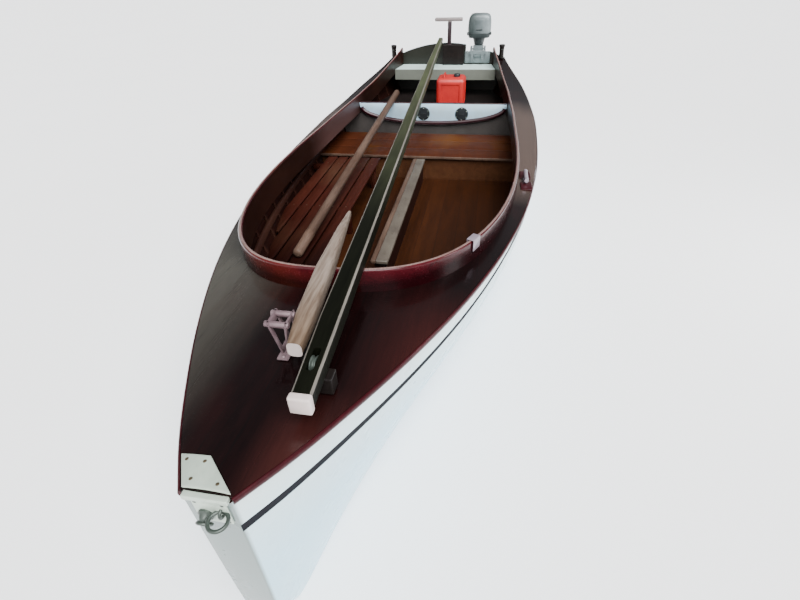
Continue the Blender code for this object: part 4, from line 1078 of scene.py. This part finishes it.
# Plate on the bow's starboard corner, with screws.
bowPlate = {"ends": (5.115, 5.190), "side": -0.030, "flare": 1.10, "edge": 0.004, "low": 0.0012,
            "high": 0.0062, "screws": ((5.128, -0.078), (5.130, -0.035), (5.172, -0.042), (5.176, 0.018)),
            "head": (0.0042, 0.0008, 0.0015, 0.0016)}


def makeBowPlate():
    bm = bmesh.new()
    aft, front = bowPlate["ends"]
    low, high = bowPlate["low"], bowPlate["high"]
    chains = []
    for k in range(13):
        x = lerp(aft, front, k / 12)
        edge = stationAt(1, x) - bowPlate["edge"]
        port = min(edge, bowPlate["side"] + bowPlate["flare"] * (x - aft))
        row = [Vector((x, y, deckAt(x, y))) for y in (lerp(-edge, port, i / 8) for i in range(9))]
        upper = [p + Vector((0, 0, high)) for p in reversed(row)]
        chains.append([p + Vector((0, 0, low)) for p in row] + upper)
    addSkin(bm, chains, 0.0015, 2, 0.9)
    for x, y in bowPlate["screws"]:
        place = (x, y, deckAt(x, y) + high - 0.0006)
        addTurned(bm, place, (0, 0, 1), headOf(*bowPlate["head"]), 14, 1)
    makePiece("bowPlate", bm, ["steel", "bronze"], ["stemhead_plate"])


# Nose plate on the stem with its ring, and a dark eye bolt beside it.
nose = {"plate": ((5.2003, -0.030, 0.606), (5.206, 0.044, 0.686)),
        "flange": ((5.1925, -0.048, 0.6765), (5.2075, 0.050, 0.6900)),
        "ring": (5.224, 0.030, 0.648), "ringR": 0.020, "ringBar": 0.0042, "eyeR": 0.010, "eyeBar": 0.0035,
        "boss": (5.206, -0.008, 0.634),
        "bossProfile": ((0.0, 0), (0.017, 0), (0.017, 0.004), (0.012, 0.008), (0.009, 0.014),
                        (0.005, 0.018), (0.0, 0.019)),
        "bolt": (0.014, 0, -0.012), "boltR": 0.014, "boltBar": 0.0038,
        "screws": ((-0.022, 0.675), (0.036, 0.675), (-0.022, 0.614), (0.036, 0.614)),
        "head": (0.004, 0.0008, 0.0015, 0.0016)}


def makeNose():
    bm = bmesh.new()
    addBox(bm, *nose["plate"], 0.002, 3)
    addBox(bm, *nose["flange"], 0.003, 3)
    ring, boss, front = nose["ring"], Vector(nose["boss"]), nose["plate"][1][0]
    addTube(bm, circle(nose["ringR"], 36, ring), nose["ringBar"], closed=True, index=1)
    eye = circle(nose["eyeR"], 20, (front, *ring[1:]), (1, 0, 0), (0, 0, 1))
    addTube(bm, eye, nose["eyeBar"], closed=True, sides=10, index=1)
    addTurned(bm, boss, (1, 0, 0), nose["bossProfile"], 28, 1)
    bolt = circle(nose["boltR"], 24, boss + Vector(nose["bolt"]), (0.5, 0, 0.87), (0, 1, 0))
    addTube(bm, bolt, nose["boltBar"], closed=True, index=1)
    for y, z in nose["screws"]:
        addTurned(bm, (front - 0.0004, y, z), (1, 0, 0), headOf(*nose["head"]), 14, 1)
    makePiece("nosePlate", bm, ["steel", "darkSteel"], ["stem_nose"])


# Horn cleats at the sides, each on a foot with two legs, with a wooden pad before and behind it.
cleats = {"x": 3.13, "y": 0.715, "half": 0.070, "bar": 0.0120, "foot": (0.034, 0.014, 0.006), "legs": 0.018,
          "legR": (0.010, 0.0075), "shares": (-1, -0.85, -0.6, -0.3, 0, 0.3, 0.6, 0.85, 1),
          "pad": (0.100, 0.030, 0.011), "padFrom": 0.036}


def makeCleat(name, side, node):
    low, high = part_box(node)
    x, y, base = cleats["x"], cleats["y"] * side, low[2]
    level = high[2] - cleats["bar"]
    long, wide, thick = cleats["foot"]
    bm = bmesh.new()
    addBox(bm, (x - long, y - wide, base), (x + long, y + wide, base + thick), 0.0025, 3)
    for shift in (-cleats["legs"], cleats["legs"]):
        addRod(bm, (x + shift, y, base + 0.005), (x + shift, y, level), *cleats["legR"], sides=20)
    horn = [Vector((x + cleats["half"] * t, y, level + 0.004 * abs(t) ** 3)) for t in cleats["shares"]]
    addTube(bm, horn, cleats["bar"] - 0.0012, sides=16)
    makePiece(name, bm, ["lilacMetal"], [node])
    long, wide, thick = cleats["pad"]
    bm = bmesh.new()
    for shift in (-1, 1):
        middle = x + shift * (cleats["padFrom"] + long / 2)
        aft, front, level = middle - long / 2, middle + long / 2, deckAt(middle, y) - 0.001
        addBox(bm, (aft, y - wide, level), (front, y + wide, level + thick), 0.003, 3)
    makePiece(name + "Pad", bm, ["railWood"])


# A clip bent over the coaming's port side.
clip = {"at": (4.10, 0.47), "half": 0.026, "over": 0.003, "thick": 0.003, "down": 0.040}


def makeClip():
    line = cockpitLine(boat["gap"] + cockpit["thick"] / 2, cockpit["aft"])
    wanted = Vector((*clip["at"], 0))
    k = min(range(1, len(line) - 1), key=lambda i: (line[i] - wanted).length)
    middle = line[k]
    along = (line[k + 1] - line[k - 1]).normalized()
    level = deckAt(middle.x, middle.y) + cockpit["up"]
    turn = Matrix.Translation((middle.x, middle.y, 0)) @ Matrix.Rotation(atan2(along.y, along.x), 4, "Z")
    half, thick = cockpit["thick"] / 2 + clip["over"], clip["thick"]
    foot, top, out = level - clip["down"], level + clip["over"], half + thick
    outer = [(-out, foot), (-out, top + thick), (out, top + thick), (out, foot)]
    inner = [(half, foot), (half, top), (-half, top), (-half, foot)]
    bm = bmesh.new()
    addPlate(bm, outer + inner, "x", -clip["half"], clip["half"], 0.0012, 2, turn)
    makePiece("coamingClip", bm, ["lilacMetal"])


makeFork()
makeBowPlate()
makeNose()
makeCleat("cleatPort", 1, "side_cleat_port")
makeCleat("cleatStarboard", -1, "side_cleat_starboard")
makeClip()
print("stage: fittings made")

# Motor cowl: rounded outlines stacked upwards; the pan below the seam is darker.
cowl = {"x": -0.210, "y": 0.325, "low": 0.786, "high": 1.005, "front": 0.082, "back": 0.235, "half": 0.124,
        "power": 0.50, "seam": 0.20, "steps": 48,
        "rows": ((0.0, 0.86), (0.02, 0.90), (0.06, 0.935), (0.14, 0.965), (0.190, 0.975), (0.194, 0.950),
                 (0.206, 0.950), (0.210, 0.980), (0.30, 0.995), (0.45, 1.0), (0.60, 0.99), (0.74, 0.965),
                 (0.84, 0.925), (0.91, 0.865), (0.96, 0.78), (0.99, 0.66), (1.0, 0.52)),
        "knob": ((0.0, 0), (0.016, 0), (0.016, 0.010), (0.012, 0.014), (0.0, 0.015)), "knobZ": 0.828,
        "panel": ((-0.012, -0.050, 0.900), (-0.001, 0.050, 0.960)), "pull": (-0.032, -0.02, 0, 0.02, 0.032),
        "pullZ": 0.866, "pullRing": ((0.0, 0), (0.014, 0), (0.012, 0.004), (0.0, 0.005))}


def cowlRing(share, size):
    ring = []
    for turn in (2 * pi * i / cowl["steps"] for i in range(cowl["steps"])):
        along, side = (copysign(abs(wave) ** cowl["power"], wave) for wave in (cos(turn), sin(turn)))
        reach = cowl["front"] if along > 0 else cowl["back"]
        ring.append(Vector((cowl["x"] + along * reach * size, cowl["y"] + side * cowl["half"] * size,
                            lerp(cowl["low"], cowl["high"], share))))
    return ring


def makeCowl():
    bm = bmesh.new()
    skinOver(bm, [cowlRing(share, size) for share, size in cowl["rows"]])
    seam = lerp(cowl["low"], cowl["high"], cowl["seam"])
    markFaces(bm, lambda normal, middle: middle.z < seam, 1)
    x, y, z = cowl["x"] + cowl["front"], cowl["y"], cowl["pullZ"]
    for side in (-1, 1):
        place = (x - 0.030, y + side * (cowl["half"] - 0.008), cowl["knobZ"])
        addTurned(bm, place, (0.35, side, 0), cowl["knob"], 24, 1)
    addBox(bm, *(Vector(corner) + Vector((x, y, 0)) for corner in cowl["panel"]), 0.005, 3)
    addTube(bm, [Vector((x + 0.002, y + t, z)) for t in cowl["pull"]], 0.006, sides=14, index=1)
    addTurned(bm, (x - 0.006, y, z), (1, 0, 0), cowl["pullRing"], 24, 1)
    makePiece("motorHood", bm, ["cowlPaint", "motorDark"], ["motor_cowl"], "motor_leg")


# Motor's leg: neck, tube, fairing, gear case with its fin, and the plate above the propeller.
leg = {"x": -0.210, "y": 0.325, "shaft": -0.270, "tube": (0.34, 0.766, 0.0155), "axle": (0.09, 0.150, 0.008),
       "fairing": ((0.36, 0.030, 0.062, 0.014), (0.34, 0.040, 0.075, 0.018), (0.05, 0.038, 0.070, 0.018),
                   (-0.15, 0.036, 0.064, 0.018), (-0.27, 0.035, 0.060, 0.018)),
       "fin": ((-0.265, 0.020, 0.062, 0.007), (-0.33, 0.000, 0.060, 0.005), (-0.378, -0.030, 0.056, 0.003)),
       "case": ((0.0, 0), (0.022, 0), (0.030, 0.012), (0.033, 0.05), (0.033, 0.11), (0.028, 0.150),
                (0.016, 0.176), (0.0, 0.186)), "caseAft": 0.100,
       "neck": ((0.0, 0), (0.048, 0), (0.052, 0.004), (0.054, 0.020), (0.062, 0.050), (0.070, 0.066),
                (0.070, 0.0722), (0.0, 0.0722)), "neckZ": 0.7132, "back": 0.020,
       "plate": (0.06, 0.045), "plateAft": (0.13, 0.058), "plateZ": (-0.152, -0.146)}


# A section pointed fore and aft: its height, reach forward, reach aft and half width.
def lensRing(z, front, back, half, steps=10):
    ring = []
    for side, order in ((1, range(steps + 1)), (-1, range(steps - 1, 0, -1))):
        for share in (i / steps for i in order):
            out = side * half * 2 * sqrt(share * (1 - share))
            ring.append(Vector((leg["x"] + lerp(front, -back, share), leg["y"] + out, z)))
    return ring


def makeLeg():
    bm = bmesh.new()
    for rows in (leg["fairing"], leg["fin"]):
        addSkin(bm, [lensRing(*row) for row in rows])
    x, y, z = leg["x"], leg["y"], leg["shaft"]
    addTurned(bm, (x - leg["caseAft"], y, z), (1, 0, 0), leg["case"], 32)
    low, high, radius = leg["tube"]
    addRod(bm, (x, y, low), (x, y, high), radius)
    near, far, radius = leg["axle"]
    addRod(bm, (x - near, y, z), (x - far, y, z), radius)
    addTurned(bm, (x - leg["back"], y, leg["neckZ"]), (0, 0, 1), leg["neck"], 36, 1)
    long, wide = leg["plate"]
    aft, half = leg["plateAft"]
    turns = [pi * k / 12 - pi / 2 for k in range(13)]
    outline = [(x + long * cos(t) - leg["back"], y + wide * sin(t)) for t in turns]
    addPlate(bm, outline + [(x - aft, y + half), (x - aft, y - half)], "z", *leg["plateZ"], 0.0015)
    makePiece("motorLeg", bm, ["motorPaint", "motorDark"], ["motor_leg"], "motor_leg")


# Pad on the transom under the motor's clamp, with a screw at each corner and a plate between the jaws.
pad = {"thick": (0.0008, 0.0132), "half": 0.135, "down": (0.146, 0.033), "screwIn": 0.014,
       "screw": ((0.0, 0), (0.005, 0), (0.004, 0.0014), (0.0, 0.0020)),
       "web": (0.0142, 0.0290), "webHalf": 0.0390, "webUp": (-0.050, 0.002)}


def makePad():
    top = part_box("motor_clamp")[1][2]
    near, far = pad["thick"]
    low, high = (top - down for down in pad["down"])
    y, half, inset = leg["y"], pad["half"], pad["screwIn"]
    bm = bmesh.new()
    addBox(bm, (near, y - half, low), (far, y + half, high), 0.005, 3)
    for side in (-1, 1):
        for z in (low + inset, high - inset):
            addTurned(bm, (far - 0.0004, y + side * (half - inset), z), (1, 0, 0), pad["screw"], 14, 1)
    near, far = pad["web"]
    foot, head = (high + up for up in pad["webUp"])
    addBox(bm, (near, y - pad["webHalf"], foot), (far, y + pad["webHalf"], head), 0.004, 3)
    makePiece("transomPad", bm, ["motorPaint", "darkSteel"])


# Propeller: a bored hub with twisted blades; rows give radius, chord and pitch in degrees.
screw = {"x": -0.315, "blade": -0.345, "blades": 3, "half": 0.0022, "steps": 4,
         "hub": ((0.0, 0.050), (0.0087, 0.050), (0.0087, 0.0), (0.024, 0.0), (0.026, 0.003), (0.026, 0.044),
                 (0.017, 0.056), (0.0, 0.060)),
         "rows": ((0.020, 0.030, 62), (0.035, 0.044, 50), (0.055, 0.052, 40), (0.075, 0.042, 33),
                  (0.087, 0.022, 30))}


def makePropeller():
    bm = bmesh.new()
    addTurned(bm, (screw["x"], leg["y"], leg["shaft"]), (-1, 0, 0), screw["hub"], 36)
    count, ahead = screw["steps"], Vector((1, 0, 0))
    for turn in (2 * pi * k / screw["blades"] for k in range(screw["blades"])):
        out = Vector((0, -sin(turn), cos(turn)))
        around = ahead.cross(out)
        chains = []
        for radius, chord, pitch in screw["rows"]:
            lean = radians(pitch)
            along = ahead * sin(lean) + around * cos(lean)
            thick = (ahead * cos(lean) - around * sin(lean)) * screw["half"]
            middle = Vector((screw["blade"], leg["y"], leg["shaft"])) + out * radius
            ring = []
            for side, order in ((1, range(-count, count + 1)), (-1, range(count - 1, -count, -1))):
                ring += [middle + along * chord * i / (2 * count) + thick * side * sqrt(1 - (i / count) ** 2)
                         for i in order]
            chains.append(ring)
        addSkin(bm, chains)
    makePiece("screw", bm, ["motorDark"], ["propeller"], "propeller")


# Bollards at the quarters, each with a cross pin.
bollard = {"profile": ((0.0, 0), (0.026, 0), (0.026, 0.006), (0.0255, 0.012), (0.0245, 0.070), (0.026, 0.100),
                       (0.031, 0.108), (0.031, 0.122), (0.026, 0.128), (0.0, 0.129)),
           "pin": (0.042, 0.085, 0.005)}


def makeBollard(name, node):
    low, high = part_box(node)
    x, y, z = (low[0] + high[0]) / 2, (low[1] + high[1]) / 2, low[2]
    bm = bmesh.new()
    addTurned(bm, (x, y, z), (0, 0, 1), bollard["profile"], 32)
    half, up, thick = bollard["pin"]
    addRod(bm, (x - half, y, z + up), (x + half, y, z + up), thick, sides=16, rounded=0.001, index=1)
    makePiece(name, bm, ["darkWood", "darkSteel"], [node])


# Crutch at the stern: a square post with eased edges on a foot, and a padded bar.
crutch = {"x": 0.028, "y": 0.020, "half": 0.020, "low": 0.7493, "top": 0.965, "footHalf": 0.026,
          "footThick": 0.008, "bar": (-0.136, 0.154), "barHalf": 0.026, "barHigh": 0.998}


def makeCrutch():
    x, y, half, foot = crutch["x"], crutch["y"], crutch["half"], crutch["footHalf"]
    low, top = crutch["low"], crutch["top"]
    bm = bmesh.new()
    addBox(bm, (x - half, y - half, low), (x + half, y + half, top), 0.004, 3)
    addBox(bm, (x - foot, y - foot, low), (x + foot, y + foot, low + crutch["footThick"]), 0.002)
    makePiece("crutchPost", bm, ["postWood"], ["crutch_post"])
    bm = bmesh.new()
    half, (near, far) = crutch["barHalf"], crutch["bar"]
    addBox(bm, (x - half, near, top + boat["gap"]), (x + half, far, crutch["barHigh"]), 0.010, 4)
    makePiece("crutchBar", bm, ["postWood"], ["crutch_bar"])


# Straps on the rudder blade, with their rivets; rows give height and aft end.
straps = {"rows": ((0.302, -0.175), (0.062, -0.220)), "faces": (0.0143, 0.0172), "front": -0.1195,
          "tall": 0.021, "rivetIn": 0.012, "rivet": ((0.0, 0), (0.004, 0), (0.003, 0.0012), (0.0, 0.0015))}


def makeStraps():
    bm = bmesh.new()
    front, tall, inset, (near, far) = straps["front"], straps["tall"], straps["rivetIn"], straps["faces"]
    for z, back in straps["rows"]:
        for side in (1, -1):
            low, high = sorted((near * side, far * side))
            addBox(bm, (back, low, z), (front, high, z + tall), 0.001)
            for x in (back + inset, front - inset):
                addTurned(bm, (x, far * side, z + tall / 2), (0, side, 0), straps["rivet"], 12)
    makePiece("rudderStraps", bm, ["bronze"], body="rudder")


makeCowl()
makeLeg()
makePad()
makePropeller()
makeBollard("bollardPort", "quarter_post_port")
makeBollard("bollardStarboard", "quarter_post_starboard")
makeCrutch()
makeStraps()
print("stage: motor made")

# Finishes of the CAD pieces that stay as they are.
nodeLooks = {
    "transomPaint": ["transom"], "hullPaint": ["keel_skeg"], "floorWood": ["sole_port", "sole_starboard"],
    "ceilingWood": ["trunk"], "riserWood": ["seat_riser"], "greyPaint": ["aft_bulkhead", "centreboard"],
    "darkWood": ["tank_shelf", "stern_block", "spar_chock", "rudder_head"], "sternShadedPaint": ["stern_deck"],
    "bronze": ["gudgeon_1", "gudgeon_2"], "motorPaint": ["motor_clamp", "swivel_bracket"],
    "railWood": ["rudder_blade"],
}
for material, names in nodeLooks.items():
    for name in names:
        for place in nodes[name].material_slots:
            place.material = looks[material]
print("stage: frame pieces finished")

floorPaper = {"size": 40, "tones": ((0.88, 0.885, 0.89), (0.91, 0.912, 0.92))}


def makeFloor():
    bm = bmesh.new()
    bmesh.ops.create_grid(bm, x_segments=1, y_segments=1, size=floorPaper["size"])
    mesh = meshOf("floor", bm)
    look = Look("floorPaper", Roughness=0.9, Specular_IOR_Level=0.1)
    mesh.materials.append(look.paint(Base_Color=look.mix(look.noise(0.7, 2.0), *floorPaper["tones"])))
    floor = addObject("floor", mesh)


makeFloor()
makeCamera()
makeStudio()
print("stage: studio made")
